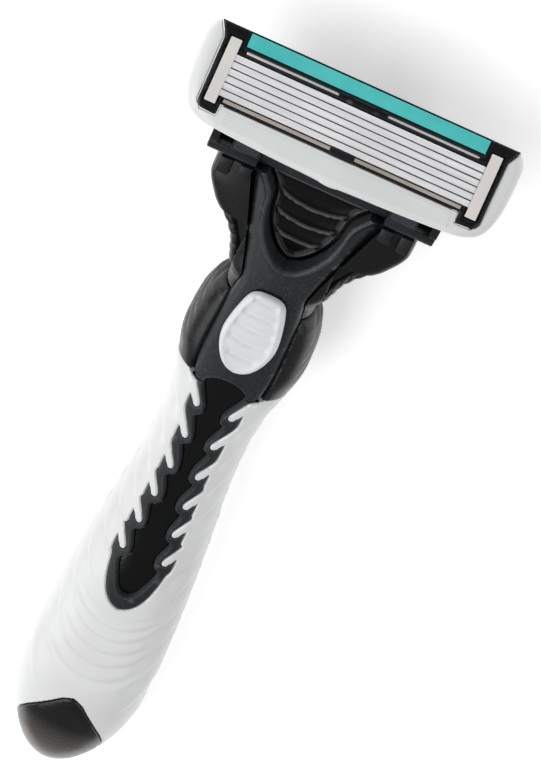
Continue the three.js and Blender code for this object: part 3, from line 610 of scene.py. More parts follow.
def wrapped(points, from_back=False):
    points = np.asarray(points, float)
    distance, y, lift = points.T
    base = skin(turn_at(distance, y, from_back), y)
    base[:, 0] *= np.where(distance < 0, -1, 1)
    return base + outward(base) * lift[:, None]


def wrapped_back(points):
    return wrapped(points, from_back=True)


def tape(x, y):
    """Distance round the skin of a point that lies at x in the plan, on the upper side."""
    half, square = along(1, y), along(4, y)
    turn = np.arccos(np.clip(np.abs(x) / half, 0, 1) ** (square / 2))
    row = np.clip(np.searchsorted(ROWS, y), 0, len(ROWS) - 1)
    return math.copysign(float(np.interp(-turn, -TURNS, ARCS[row])), x)


def unrolled(outline):
    """An outline drawn in the plan, measured round the skin instead."""
    return np.array([(tape(x, y), y) for x, y in outline])


def tape_at_height(z, y, from_back=False):
    """Distance round the skin of the side line at a height."""
    row = min(int(np.searchsorted(ROWS, y)), len(ROWS) - 1)
    distance = float(np.interp(-z, -RINGS[row, :, 2], ARCS[row]))
    return float(half_girth(y)) - distance if from_back else distance


print("the belly measures", round(2 * float(half_girth(49.0)), 1), "mm round")

# %% [markdown]
# ## Materials
#
# Moulded plastic is never one flat colour. It has slow cloudy differences in tone and a fine grain from
# the mould that changes its gloss, and here its convex edges get a paler painted highlight. One helper
# builds that from these: the size of the clouds, the size and depth of the grain, and the colour of the
# painted edge highlight.

# %% Adding a node
def add_node(tree, kind, inputs=None, **settings):
    """Adds one node with its settings; an input is a value, or another node's output to link."""
    made = tree.nodes.new(kind)
    for key, value in settings.items():
        setattr(made, key, value)
    for key, value in (inputs or {}).items():
        if isinstance(value, bpy.types.NodeSocket):
            tree.links.new(value, made.inputs[key])
        else:
            made.inputs[key].default_value = value
    return made


MIX_FACTOR, MIX_A, MIX_B, MIX_RESULT = 0, 6, 7, 2     # places of the colour sockets on a Mix node
print("a Mix node takes its colours at", MIX_A, "and", MIX_B, "and gives one at", MIX_RESULT)

# %% One recipe for every finish
SPECK_FROM = 0.58                                     # noise above this is a speck


def moulded(name, main, other, roughness, spread=0.05, cloud=9.0, grain=0.3, depth=0.004,
            speck=None, speck_size=0.3, edge=None, edge_highlight_amount=0.3,
            metallic=0.0, ior=1.5, stretch=(1, 1, 1), fade=None, shine=0.5):
    """A plastic, rubber or metal finish. Sizes are in millimetres, and stretch draws the grain out.

    fade is an axis, where it starts and ends, and the colour there. shine is the specular level.
    """
    material = bpy.data.materials.new(name)
    material.use_nodes = True
    tree = material.node_tree
    tree.nodes.clear()
    place = add_node(tree, "ShaderNodeTexCoord")
    mm = add_node(tree, "ShaderNodeVectorMath", {0: place.outputs["Object"], 1: (1 / MM,) * 3},
                  operation="MULTIPLY").outputs[0]
    drawn = add_node(tree, "ShaderNodeVectorMath", {0: mm, 1: stretch}, operation="MULTIPLY").outputs[0]
    clouds = add_node(tree, "ShaderNodeTexNoise", {"Vector": mm, "Scale": 1 / cloud, "Detail": 3.0})
    grains = add_node(tree, "ShaderNodeTexNoise", {"Vector": drawn, "Scale": 1 / grain, "Detail": 4.0})
    layers = [(clouds.outputs[0], 0.35, 0.65, 1.0, other)]     # a pattern, its range, its most, its colour
    if fade:
        axis, start, end, far = fade
        split = add_node(tree, "ShaderNodeSeparateXYZ", {0: mm})
        layers.append((split.outputs[axis], start, end, 1.0, far))
    if speck:
        dots = add_node(tree, "ShaderNodeTexNoise", {"Vector": mm, "Scale": 1 / speck_size, "Detail": 1.0})
        layers.append((dots.outputs[0], SPECK_FROM, SPECK_FROM + 0.1, 1.0, speck))
    # painted highlight: convex edges, found by their pointiness, take a paler edge colour that stands in for
    # light caught on rounded edges
    if edge:
        bend = add_node(tree, "ShaderNodeNewGeometry")
        layers.append((bend.outputs["Pointiness"], 0.51, 0.6, edge_highlight_amount, edge))
    colour = srgb(main)
    for pattern, low, high, most, tint in layers:
        share = add_node(tree, "ShaderNodeMapRange", {"Value": pattern, "From Min": low,
                                                      "From Max": high, "To Max": most})
        colour = add_node(tree, "ShaderNodeMix", {MIX_FACTOR: share.outputs[0], MIX_A: colour,
                                                  MIX_B: srgb(tint)}, data_type="RGBA").outputs[MIX_RESULT]
    gloss = add_node(tree, "ShaderNodeMapRange", {"Value": grains.outputs[0], "From Min": 0.3,
                                                  "From Max": 0.7, "To Min": roughness - spread,
                                                  "To Max": roughness + spread})
    bump = add_node(tree, "ShaderNodeBump", {"Height": grains.outputs[0], "Distance": depth * MM,
                                             "Strength": 1.0})
    shader = add_node(tree, "ShaderNodeBsdfPrincipled", {
        "Base Color": colour, "Roughness": gloss.outputs[0], "Normal": bump.outputs[0],
        "Metallic": metallic, "IOR": ior, "Specular IOR Level": shine})
    add_node(tree, "ShaderNodeOutputMaterial", {0: shader.outputs[0]})
    print(name, "from", main, "to", other)
    return material


# %% [markdown]
# The plastics. White ABS for the shells and the cartridge's frame is glossy with a soft orange-peel skin.
# The black parts are the same plastic with carbon black, moulded in polished or in spark-eroded steel,
# which decides between a mirror and a fine satin speckle. Their refractive index is about 1.5, but dust
# and wear dull what they mirror, so the black finishes have less than the usual shine of 0.5.

# %% Plastics
ABS_IOR = 1.53
# the edge colours below paint a highlight on each piece's convex edges
white_abs = moulded("ABS white moulded", "#E1E2E2", "#DADBDA", 0.36, grain=0.9, depth=0.003,
                    cloud=14, ior=ABS_IOR)
button_abs = moulded("ABS button white satin", "#E0E3E3", "#D8DCDC", 0.42, grain=0.3, depth=0.006,
                     ior=ABS_IOR)
black_abs = moulded("ABS black moulded", "#0D0E10", "#08090A", 0.30, grain=0.4, depth=0.006,
                    edge="#3A3C40", edge_highlight_amount=0.3, ior=ABS_IOR, shine=0.3)
satin_abs = moulded("ABS charcoal spark-eroded", "#181B1E", "#121416", 0.42, spread=0.1, grain=0.22,
                    depth=0.016, speck="#30353A", speck_size=0.22, edge="#565C62", edge_highlight_amount=0.35,
                    ior=ABS_IOR, shine=0.4)
polished_abs = moulded("ABS black polished", "#040505", "#060707", 0.14, spread=0.04, grain=1.4,
                       depth=0.003, ior=ABS_IOR, shine=0.25)
housing_abs = moulded("ABS black glossy", "#090A0B", "#060707", 0.24, spread=0.06, grain=0.6, depth=0.004,
                      edge="#3C4046", edge_highlight_amount=0.3, ior=ABS_IOR, shine=0.28)
panel_abs = moulded("ABS blue-black polished", "#1A2027", "#12161B", 0.22, spread=0.06, grain=0.5,
                    depth=0.005, edge="#4A545E", edge_highlight_amount=0.4, ior=ABS_IOR)

# %% [markdown]
# The rubbers. The grips are a thermoplastic elastomer over the hard core: it is a little duller than the
# plastic and holds dust and skin oil in patches. The throat's pad is nearly black, and the crests of its
# ribs get a pale painted highlight. The end cap's rubber turns from near black to brown-grey towards the
# tip. The guard's fins are a white elastomer.

# %% Rubbers
CAP_FADE = (1, 57, 69.5, "#6E665F")     # along Y, from 57 mm to 69.5 mm, to a brown grey
# the edge colours below are painted highlights on convex edges; on the throat's pad they pale the rib crests
grip_rubber = moulded("TPE black moulded", "#08090B", "#0D0E10", 0.28, spread=0.08, grain=0.35,
                      depth=0.008, edge="#3A3F45", edge_highlight_amount=0.4, shine=0.35)
throat_rubber = moulded("TPE black wet-look", "#030303", "#050505", 0.3, spread=0.06, grain=0.5, depth=0.003,
                        edge="#77777A", edge_highlight_amount=0.9, shine=0.2)
rim_rubber = moulded("TPE charcoal satin", "#1C1F22", "#15181A", 0.45, spread=0.1, grain=0.25, depth=0.012,
                     speck="#2A2E32", speck_size=0.3, edge="#565B60", edge_highlight_amount=0.5, shine=0.35)
cap_rubber = moulded("TPE brown-grey moulded", "#0A0B0D", "#0F0F11", 0.26, spread=0.08, grain=0.5,
                     depth=0.006, fade=CAP_FADE, shine=0.4)
guard_rubber = moulded("TPE white moulded", "#DFE3E2", "#D6DAD9", 0.5, grain=0.4, depth=0.01)

# %% [markdown]
# The lubricating strip is a pressed mix of water-soluble polymer and soap: a dull, slightly grainy teal
# that turns paler in patches where it has been wetted.

# %% Strip
strip_polymer = moulded("Polyethylene oxide strip teal", "#41BDBC", "#50C8C5", 0.5, spread=0.08, cloud=6,
                        grain=0.5, depth=0.012, speck="#52C2BD", speck_size=0.6, ior=1.45)

# %% [markdown]
# The metals. Blade steel is ground, so its fine lines run along the edge; the clips and the stop bar are
# rolled aluminium, duller and a touch warmer; the springs and pins are drawn stainless wire.

# %% Metals
blade_steel = moulded("Stainless steel ground", "#E6E6E8", "#DADADD", 0.34, spread=0.08, metallic=1.0,
                      grain=0.12, depth=0.002, stretch=(0.02, 1, 1))
clip_metal = moulded("Aluminium rolled", "#ECE9E5", "#E0DDD9", 0.5, spread=0.06, metallic=0.3, grain=0.2,
                     depth=0.003, stretch=(1, 0.05, 0.05))
bar_metal = moulded("Aluminium anodised grey", "#BDB6AC", "#A8A199", 0.5, spread=0.06, metallic=0.5,
                    grain=0.2, depth=0.003, stretch=(0.05, 1, 1))
wire_steel = moulded("Stainless steel drawn", "#B0B3B7", "#A3A6AA", 0.3, spread=0.05, metallic=1.0,
                     grain=0.15, depth=0.002)
FLOOR_GLOW = 0.38
floor_paint = moulded("Studio floor matt white", "#FFFFFF", "#FDFDFD", 0.8, grain=8, depth=0.01, cloud=200)
floor.data.materials.append(floor_paint)
table_light = next(node for node in floor_paint.node_tree.nodes if node.type == "BSDF_PRINCIPLED")
table_light.inputs["Emission Color"].default_value = (1.0, 1.0, 1.0, 1.0)
table_light.inputs["Emission Strength"].default_value = FLOOR_GLOW
print("materials:", len(bpy.data.materials))


# %% Showing a piece and refinishing a frame node
def show(piece, body, slot, material, *nodes):
    piece.data.materials.clear()
    piece.data.materials.append(material)
    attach(piece, body)
    if nodes:
        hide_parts(*nodes)
    low = [round(min(v.co[k] for v in piece.data.vertices) / MM, 1) for k in range(3)]
    high = [round(max(v.co[k] for v in piece.data.vertices) / MM, 1) for k in range(3)]
    print(piece.name, len(piece.data.polygons), "faces from", low, "to", high)
    return piece


def refinish(name, material, bevel=0.0):
    """A node of the frame keeps its shape and gets a material, and rounded edges where they show."""
    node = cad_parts[name]
    node.data.materials.clear()
    node.data.materials.append(material)
    if bevel:
        weld = node.modifiers.new("weld", "WELD")
        weld.merge_threshold = 0.002 * MM
        rounded_edges(node, bevel, 2)
    print(name, "keeps its shape, in", material.name)


# %% [markdown]
# ## The white shells and the grip strip
#
# Two white half shells clamp a black core. The upper one has a long opening for the grip strip, and its
# edge is cut into barbs that lock into the rubber. The opening is drawn as an outline in the plan, barb
# by barb: every barb repeats one tooth, moved to its tip. A few rounds of corner cutting round it.

# %% The outlines of the grip strip
# y and |x| of each barb's tip, and then one barb drawn round its tip
TIPS = ((-10.1, 2.25), (-3.8, 1.8), (2.6, 1.75), (8.6, 2.05), (14.2, 2.4), (19.8, 2.9))
TOOTH = ((1.62, -3.6), (0.98, -2.45), (0.42, -1.4), (-0.04, -0.5), (-0.14, 0.1), (0.08, 0.5), (0.55, 0.55),
         (0.9, 0.1), (1.2, -0.4), (1.64, -1.05), (1.66, -1.05), (1.66, 0.5), (1.62, 1.6))
STRIP_END = ((4.15, 22.0), (3.95, 23.6), (3.62, 25.4), (3.15, 27.2), (2.4, 28.9), (1.3, 30.1), (0, 30.6))
RECESS = ((3.15, -14.1), (3.0, -13.2), (2.0, -11.2), (1.3, -9.6), (1.3, -8.7), (2.15, -7.9), (2.2, -7.2),
          (1.35, -5.0), (0.9, -3.6), (0.95, -2.7), (1.95, -2.1), (2.0, -1.3), (1.15, 1.0), (0.82, 2.6),
          (0.9, 3.7), (2.05, 4.4), (2.15, 5.2), (1.3, 7.2), (0.98, 8.8), (1.1, 9.8), (2.3, 10.5), (2.4, 11.3),
          (1.8, 13.3), (1.6, 14.6), (1.75, 15.5), (2.75, 16.1), (2.9, 17.0), (2.2, 18.8), (1.85, 20.1),
          (2.0, 21.1), (2.9, 21.8), (3.05, 22.6), (2.6, 24.2), (2.15, 25.4), (1.5, 27.0), (0.8, 27.9),
          (0, 28.1))
DOME = ((0, -16.2), (1.2, -16.05), (2.2, -15.6), (2.9, -14.9))


def barbs():
    points = []
    for y, x in TIPS:
        points += [(x + dx, y + dy) for dx, dy in TOOTH]
    return points


def cornered(half, rounds=2):
    """Corner cutting on an open half outline; its two ends stay where they are."""
    half = np.array(half, float)
    for _ in range(rounds):
        inner = np.stack([half[:-1] * 0.75 + half[1:] * 0.25, half[:-1] * 0.25 + half[1:] * 0.75], 1)
        half = np.concatenate([half[:1], inner.reshape(-1, 2), half[-1:]])
    return half


opening_half = cornered(barbs() + list(STRIP_END))
recess_half = cornered(RECESS)
dome_half = cornered(DOME + RECESS[:1])
print("opening", len(opening_half), "points, recess", len(recess_half), "points")

# %% [markdown]
# The shell's outer outline follows the split between black and white near the shoulders, the seam along
# the sides and the slanted edge of the end cap. The flutes are grooves that rise gently and drop steeply,
# like overlapping scales. Each one follows a line that sweeps towards the head as it goes round, by the
# square of its distance from the top. Round the belly they come closer together and shallower.

# %% The seam, the cap's edge and the flutes
SEAM_Z = 7.0
SEAM_GAP = 0.16
WALL = 1.8
EDGE_STEPS = 60           # points along the seam and along the cap's edge
CAP_EDGE = np.array([
    # degrees round the section, y of the cap's front edge
    [-90, 54.0], [-75, 54.8], [-55, 57.5], [-35, 61.2], [-18, 63.8], [0, 64.8], [9, 64.6], [18, 63.6],
    [27, 61.8], [38, 59.4], [50, 57.2], [62, 55.1], [75, 52.7], [83, 51.0], [90, 50.2]])
FLUTE_LINES = np.array([-24.0, -17.5, -11.2, -4.9, 1.5, 7.5, 13.1, 18.7, 24.6, 30.7, 36.8, 42.6, 48.4, 55.0])
BELLY_LINES = np.array([29.8, 32.3, 34.7, 37.0, 39.7, 42.5, 45.7, 49.2])
SWEEP = 0.07


def cap_edge(degrees):
    return np.interp(degrees, CAP_EDGE[:, 0], CAP_EDGE[:, 1])


def ease(low, high, value):
    share = np.clip((value - low) / (high - low), 0, 1)
    return share * share * (3 - 2 * share)


def scales(value, lines, drop=0.2):
    """Zero at a line, then a gentle rise to one and a steep drop just before the next line."""
    phase = np.interp(value, lines, np.arange(len(lines)))
    part = phase - np.floor(phase)
    rise = np.clip(part / (1 - drop), 0, 1)
    fall = np.clip((1 - part) / drop, 0, 1)
    return np.where(part < 1 - drop, np.sin(rise * math.pi / 2), ease(0, 1, fall))


def flutes(distance, y):
    """How far the shell's skin lies below the plain skin."""
    distance = np.abs(distance)
    line = y + SWEEP * distance ** 2
    side = ease(3.8, 6.2, distance) * (1 - ease(14.5, 18.5, distance)) * (1 - ease(44, 54, y))
    side = side * (1 - (1 - ease(5.2, 7.4, distance)) * ease(26, 29, y))
    belly = (1 - ease(5.2, 7.6, distance)) * ease(31.6, 33.5, line) * (1 - ease(46.0, 48.5, line))
    return 0.58 * side * (1 - scales(line, FLUTE_LINES)) + 0.28 * belly * (1 - scales(line, BELLY_LINES, 0.3))


print("flutes:", len(FLUTE_LINES) - 1, "on the sides and", len(BELLY_LINES) - 1, "on the belly")


# %% The shell's outer edge
def cap_line(from_back, gap):
    """The end cap's edge as distance and y, from the right-hand seam to the middle."""
    points = []
    for k in range(EDGE_STEPS + 1):
        degrees = (-90 if from_back else 90) * (k / EDGE_STEPS)
        y = float(cap_edge(degrees)) - gap
        turn = math.radians(degrees)
        row = min(int(np.searchsorted(ROWS, y)), len(ROWS) - 1)
        distance = float(np.interp(-turn, -TURNS, ARCS[row]))
        distance = float(half_girth(y)) - distance if from_back else distance
        points.append((distance, y))
    return points


def seam_line(from_back, start, end):
    edge = SEAM_Z - SEAM_GAP / 2 if from_back else SEAM_Z + SEAM_GAP / 2
    ys = np.linspace(start, end, EDGE_STEPS + 1)
    return [(tape_at_height(edge, y, from_back), float(y)) for y in ys]


def shell_half(from_back):
    """Right-hand half outline from the front centre, out to the seam, back to the end cap's middle."""
    edge = SEAM_Z - SEAM_GAP / 2 if from_back else SEAM_Z + SEAM_GAP / 2
    cap = [p for p in cap_line(from_back, 0.1) if p[1] < 64.75]
    limits = [(d, y) for d, y in cap if d < tape_at_height(edge, y, from_back) - 0.05]
    seam = seam_line(from_back, SHELL_START, limits[0][1] - 0.1)
    return seam + limits


print("cap edge at the top:", float(cap_edge(90)), "mm, at the side:", float(cap_edge(0)), "mm")


# %% The two shells
POCKET_GAP = 0.15         # round the pad in the lower shell's opening


def front_shell():
    opening = unrolled(opening_half)
    start = [p for p in opening if p[1] > SHELL_START + 0.05]
    right = shell_half(False)
    outer = [(start[0][0] + 1.6, SHELL_START)] + right
    # one side from the split along the seam to the cap's middle, then back up the barbs
    half = outer + [(0.0, float(cap_edge(90)) - 0.1)]
    left = [(-d, y) for d, y in reversed(half[:-1])]
    barbs_left = [(-d, y) for d, y in start]
    barbs_right = [(d, y) for d, y in reversed(start[:-1])]
    outline = np.array(half + left + barbs_left + barbs_right)

    def height(distance, y):
        return -flutes(distance, y) - rounding(gap_to(distance, y, outline), 0.22)

    piece = relief("shell_upper", outline, height, -WALL, fine=0.2, coarse=0.42, rim=0.5, place=wrapped)
    return show(piece, "handle", "white_abs", white_abs, "front_shell")


def rear_shell():
    right = shell_half(True)
    half = [(0.0, SHELL_START)] + right + [(0.0, float(cap_edge(-90)) - 0.1)]
    outline = both_sides(half)
    low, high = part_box("rear_grip")
    x = high.x / MM + POCKET_GAP
    pocket = box_loop(-x, x, low.y / MM - POCKET_GAP, high.y / MM + POCKET_GAP)

    def height(distance, y):
        from_top = half_girth(y) - np.abs(distance)
        return -flutes(from_top, y) - rounding(gap_to(distance, y, outline, pocket), 0.25)

    piece = relief("shell_lower", outline, height, -WALL, holes=(pocket,), fine=0.24, coarse=0.5, rim=0.5,
                   place=wrapped_back)
    return show(piece, "handle", "white_abs", white_abs, "rear_shell")


front_shell()
rear_shell()

# %% [markdown]
# The grip strip is charcoal rubber that fills the opening up to a hair line. Its middle is sunk by a
# millimetre and holds a polished insert. Such a face shows little but what it mirrors, and here that is
# mostly the dim room, so it reads as the blackest part.

# %% The grip strip and its insert
STRIP_GAP = 0.07
INSERT_DROP = 1.0


def strip_outline():
    """The rubber round the recess: a U, open towards the head where the recess runs into a dome."""
    outer = [(4.7, -14.05)] + [tuple(p) for p in opening_half if p[1] > -13.75]
    outer = [(x - STRIP_GAP if x > 0.2 else x, y) for x, y in outer[:-1]] + [(0.0, 30.6 - STRIP_GAP)]
    inner = [(x, y) for x, y in recess_half if y > -14.0]
    inner = [(inner[0][0] + 0.02, -14.05)] + inner
    outer, inner = unrolled(outer), unrolled(inner)
    path = [tuple(p) for p in outer] + [(-d, y) for d, y in outer[-2::-1]]
    path += [(-d, y) for d, y in inner] + [(d, y) for d, y in inner[-2::-1]]
    return np.array(path)


def grip_inlay():
    outline = strip_outline()

    def height(distance, y):
        return -0.06 - rounding(gap_to(distance, y, outline), 0.28)

    piece = relief("grip_strip", outline, height, -1.75, fine=0.16, coarse=0.3, rim=0.4, place=wrapped)
    return show(piece, "handle", "black_rubber", rim_rubber, "grip_inlay")


def grip_insert():
    half = [tuple(p) for p in dome_half] + [(x, y) for x, y in recess_half[1:]]
    outline = shifted(unrolled(both_sides(half)), -0.03)

    def height(distance, y):
        return -INSERT_DROP - rounding(gap_to(distance, y, outline), 0.2)

    piece = relief("grip_insert_polished", outline, height, -1.72, fine=0.2, coarse=0.5, rim=0.4,
                   place=wrapped)
    return show(piece, "handle", "gloss_black", polished_abs, "grip_insert")


grip_inlay()
grip_insert()


# %% [markdown]
# ## The end cap
#
# The cap is a rubber dome pushed over the tail. It is one skin from its slanted front edge to the tip, so
# it is built as rings: every line along the handle has its own start on the edge, and all end at the tip.

# %% The end cap
def end_cap():
    columns, rows = 120, 60
    degrees = np.linspace(0, 360, columns, endpoint=False)
    folded = np.where(degrees <= 90, degrees, np.where(degrees <= 270, 180 - degrees, degrees - 360))
    start = cap_edge(folded) + 0.1
    share = np.sin(np.linspace(0, math.pi / 2, rows)) ** 0.9
    share[1:4] = (0.004, 0.012, 0.025)
    share = np.sort(share)
    ys = start[None, :] + (TAIL_TIP - start[None, :]) * share[:, None]
    angles = np.broadcast_to(np.radians(degrees), ys.shape)

    def lift(base):
        return -rounding(np.abs(base[..., 1] - start), 0.5)

    piece = patch("end_cap_rubber", angles, ys, lift, 1.6)
    return show(piece, "handle", "cap_rubber", cap_rubber, "end_cap")


end_cap()

# %% [markdown]
# ## The neck
#
# The neck is one black moulding that forks into two arms. A charcoal cover is set into it, with a hollow
# throat between the arms for the thumb, and the release button rides on a low crown on top of it.

# %% The core
THROAT_FLOOR = 9.9
COVER_FLOOR = 11.45
PAD_GAP = 0.12            # round the cover and the throat's pad in their pockets
ABOVE = 30                # a cutting block reaches this high, clear of the handle
throat_half = cornered([(7.75, -50.6), (6.0, -48.5), (5.2, -47.0), (4.95, -44.2), (4.2, -41.6), (2.9, -39.3),
                        (1.5, -37.8), (0, -37.3)])
cover_half = [(9.0, -49.7), (7.9, -46), (6.45, -41), (5.35, -37), (4.5, -33.4), (4.75, -31), (4.95, -29),
              (5.15, -24), (5.3, -19), (5.0, -16), (4.6, -14.45)]


def rings(ys, columns):
    """The angles and the places along the handle of every point of a sleeve."""
    degrees = np.linspace(0, 360, columns, endpoint=False)
    angles = np.broadcast_to(np.radians(degrees), (len(ys), columns))
    return angles, np.broadcast_to(ys[:, None], angles.shape)


def handle_core():
    ys = np.concatenate([[HEAD_END], np.arange(HEAD_END + 0.25, SHELL_START - 0.25, 0.4),
                         [SHELL_START - 0.12]])

    def lift(base):
        x, y, z = base[..., 0], base[..., 1], base[..., 2]
        low = -rounding(np.minimum(np.abs(y - HEAD_END), np.abs(y - SHELL_START)), 0.35)
        under_grip = ease(-33.0, -32.8, y) * (np.abs(x) > 5.0) * (z > 2.4) * (y > -29.7)
        side = (np.abs(x) > 6.4) * (y > -41.2) * (y < -33.1)
        return low - 0.9 * np.maximum(under_grip, side)

    neck = patch("core_neck", *rings(ys, 144), lift, 6.4)
    for name, half, end, bottom in (("pocket", cover_half, [(0, -13)], COVER_FLOOR),
                                    ("throat", throat_half, [], THROAT_FLOOR)):
        outline = both_sides([(0, -51)] + [(x + PAD_GAP, y) for x, y in half] + end)
        cut(neck, prism(name, outline, bottom, ABOVE))
    return neck


core = handle_core()
print("the neck has", len(core.data.polygons), "faces")


# %% [markdown]
# The arms carry small raised plates where the head docks. Inside the shells the core goes on as a spine
# down to the cap, and at the front it ends in the docking tongue. They are separate closed lofts and
# rounded blocks of the same moulding, so they are simply joined.

# %% Spine, tongue and arm plates
SPINE_DEPTH = 2.3         # the spine lies this far below the handle's skin
SPINE_GAP = 0.3           # round the rear pad, which sits in a notch of the spine


def core_extras():
    sleeve = rings(np.linspace(-20, 63.5, 60), 48)
    spine = patch("core_spine", *sleeve, lambda base: np.full(base.shape[:2], -SPINE_DEPTH), 5.2)
    low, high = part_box("rear_grip")
    x = high.x / MM + SPINE_GAP
    pad = box_loop(-x, x, low.y / MM - SPINE_GAP, high.y / MM + SPINE_GAP)
    cut(spine, prism("pad", pad, -2, high.z / MM + SPINE_GAP))
    tongue = slab("core_tongue", side_box(-54.2, -48.9, 6.6, 10.9), -3.3, 3.3, 0.35)
    plates = []
    for side in (1, -1):
        for x0, x1, y0, y1, top in ((8.9, 10.5, -49.9, -47.7, 13.75), (11.6, 13.3, -49.9, -47.2, 13.62)):
            a, b = sorted((side * x0, side * x1))
            plates.append(slab("arm_plate", [(y0, 12.6), (y0, top), (y1, top - 0.1), (y1, 12.6)], a, b, 0.14))
    return [spine, tongue] + plates


show(joined("core_moulding", [core] + core_extras()), "handle", "black_abs", black_abs, "handle_core")


# %% [markdown]
# The cover's top is a low crown that is straight along the handle, so that the button can slide on it.
# Its outer edge has a broad soft bevel that catches the light, and a raised bead runs round the throat.

# %% The neck cover
CROWN_TOP = 14.0
CROWN_HALF = 9.0
CROWN_DROP = 1.6


def crown(x):
    return CROWN_TOP - CROWN_DROP * (x / CROWN_HALF) ** 2


def neck_cover():
    dome = [(x + 0.06, y) for x, y in dome_half if y < -14.6]
    outer = cornered(cover_half, 1)
    half = [(x, y) for x, y in outer] + [(3.05, -14.45)] + [(x, y - 0.08) for x, y in reversed(dome[1:])]
    half.append((0.0, -16.28))
    throat = [(x, y) for x, y in throat_half if y > -50.0]
    inner = [(throat[0][0], -49.7)] + throat
    path = [tuple(p) for p in half] + [(-x, y) for x, y in reversed(half[:-1])]
    path += [(-x, y) for x, y in inner] + [(x, y) for x, y in inner[-2::-1]]
    outline = np.array(path)
    edge_out = np.array([tuple(p) for p in outer] + [(40, -14.45), (40, -49.7)])
    edge_throat = both_sides([(0, -80), (throat[0][0], -80)] + throat)
    slot = box_loop(-1.6, 1.6, -31.8, -23.2)          # the button's stem slides in it

    def height(x, y):
        from_throat = gap_to(x, y, edge_throat)
        bead = 0.3 * np.exp(-((from_throat - 0.55) / 0.26) ** 2)
        bevel = rounding(gap_to(np.abs(x), y, edge_out), 1.15) * 0.85
        return crown(x) - bevel + bead - rounding(from_throat, 0.35) - rounding(gap_to(x, y, slot), 0.1)

    piece = relief("neck_cover_plate", outline, height, COVER_FLOOR + 0.08, holes=(slot,), fine=0.17,
                   coarse=0.42, rim=1.3)
    return show(piece, "handle", "charcoal_abs", satin_abs, "neck_cover")


neck_cover()


# %% The throat pad
def throat_pad():
    half = [(x - 0.35, y) for x, y in throat_half if y > -50.0]
    half = [(half[0][0], -49.85)] + half
    half[-1] = (0.0, -37.65)
    outline = both_sides([(0, -49.85)] + half)
    crests = (-46.2, -43.3, -40.5)

    def height(x, y):
        edge = gap_to(x, y, outline)
        rise = np.zeros_like(x)
        for crest in crests:
            line = y + 0.045 * x ** 2 - crest
            rise = rise + 0.75 * np.exp(-(line / np.where(line < 0, 0.6, 0.24)) ** 2)
        return 11.0 + rise * ease(0.2, 1.0, edge) + 0.25 * (1 - ease(0.3, 0.8, edge)) - rounding(edge, 0.25)

    piece = relief("throat_pad_ribbed", outline, height, THROAT_FLOOR + 0.12, fine=0.17, coarse=0.24, rim=0.5)
    return show(piece, "handle", "black_rubber", throat_rubber, "throat_pad")


throat_pad()

# %% [markdown]
# ## The grips at the neck
#
# Black rubber pads wrap round the shoulders. Slanted fins lie on their outer sides like roof tiles, and
# fade out towards the cover. Smaller pads with straight teeth sit just behind the arms. One side is drawn,
# and the other is its mirror image.

# %% Shoulder and neck grips
TOOTH_PITCH = 1.6
SHOULDER_FINS = np.array([-24.6, -21.7, -18.8, -15.9, -13.0, -10.1, -7.2, -4.3, -1.4, 1.5])


def on_side(side):
    """Wraps a drawing round the right side (1), or its mirror image round the left (-1)."""
    def placed(points):
        world = wrapped(points)
        world[:, 0] *= side
        return world
    return placed


def shoulder_grip(side, word):
    inner = [(tape(5.15 + 0.3 * ease(-29, -20, y), y), y) for y in np.linspace(-29.55, -14.45, 16)]
    outer = [(tape_at_height(2.6, y), y) for y in np.linspace(-14.45, -29.55, 16)]
    outline = np.array(inner + outer)

    def height(distance, y):
        line = y + 1.05 * np.abs(distance)
        fins = 0.3 * (1 - scales(line, SHOULDER_FINS, 0.22)) * ease(8.0, 11.0, np.abs(distance))
        return -0.05 - fins - rounding(gap_to(distance, y, outline), 0.45)

    piece = relief("shoulder_grip_%s" % word, outline, height, -0.85, fine=0.18, coarse=0.26, rim=0.6,
                   place=on_side(side))
    return show(piece, "handle", "black_rubber", grip_rubber, "shoulder_grip_" + word)


def neck_grip(side, word):
    ys = np.linspace(-40.95, -33.3, 14)
    inner = []
    for y in ys:
        x = min(6.3 + max(0.0, -34.5 - y) * 0.42, along(1, y) - 0.5)
        inner.append((tape(x, y), y))
    outer = [(float(half_girth(y)) - abs(distance), y) for distance, y in inner[::-1]]
    outline = np.array(inner + outer)
    teeth = np.arange(-42.6, -31.0, TOOTH_PITCH)

    def height(distance, y):
        return -0.4 * (1 - scales(y, teeth, 0.2)) - rounding(gap_to(distance, y, outline), 0.3)

    piece = relief("neck_grip_%s_toothed" % word, outline, height, -0.8, fine=0.18, coarse=0.24, rim=0.5,
                   place=on_side(side))
    return show(piece, "handle", "black_rubber", grip_rubber, "neck_grip_" + word)


for side, word in ((1, "right"), (-1, "left")):
    shoulder_grip(side, word)
    neck_grip(side, word)

# %% [markdown]
# ## The release button
#
# An egg of white plastic, wide towards the tail. Five shallow smiling grooves are sunk into it, and a low
# rim stands round its edge, so a wet thumb doesn't slip. Its stem goes down through the cover.

# %% The button
BUTTON_TOP, BUTTON_GAP = 1.2, 0.3     # above the crown: the button's face, and the air under it


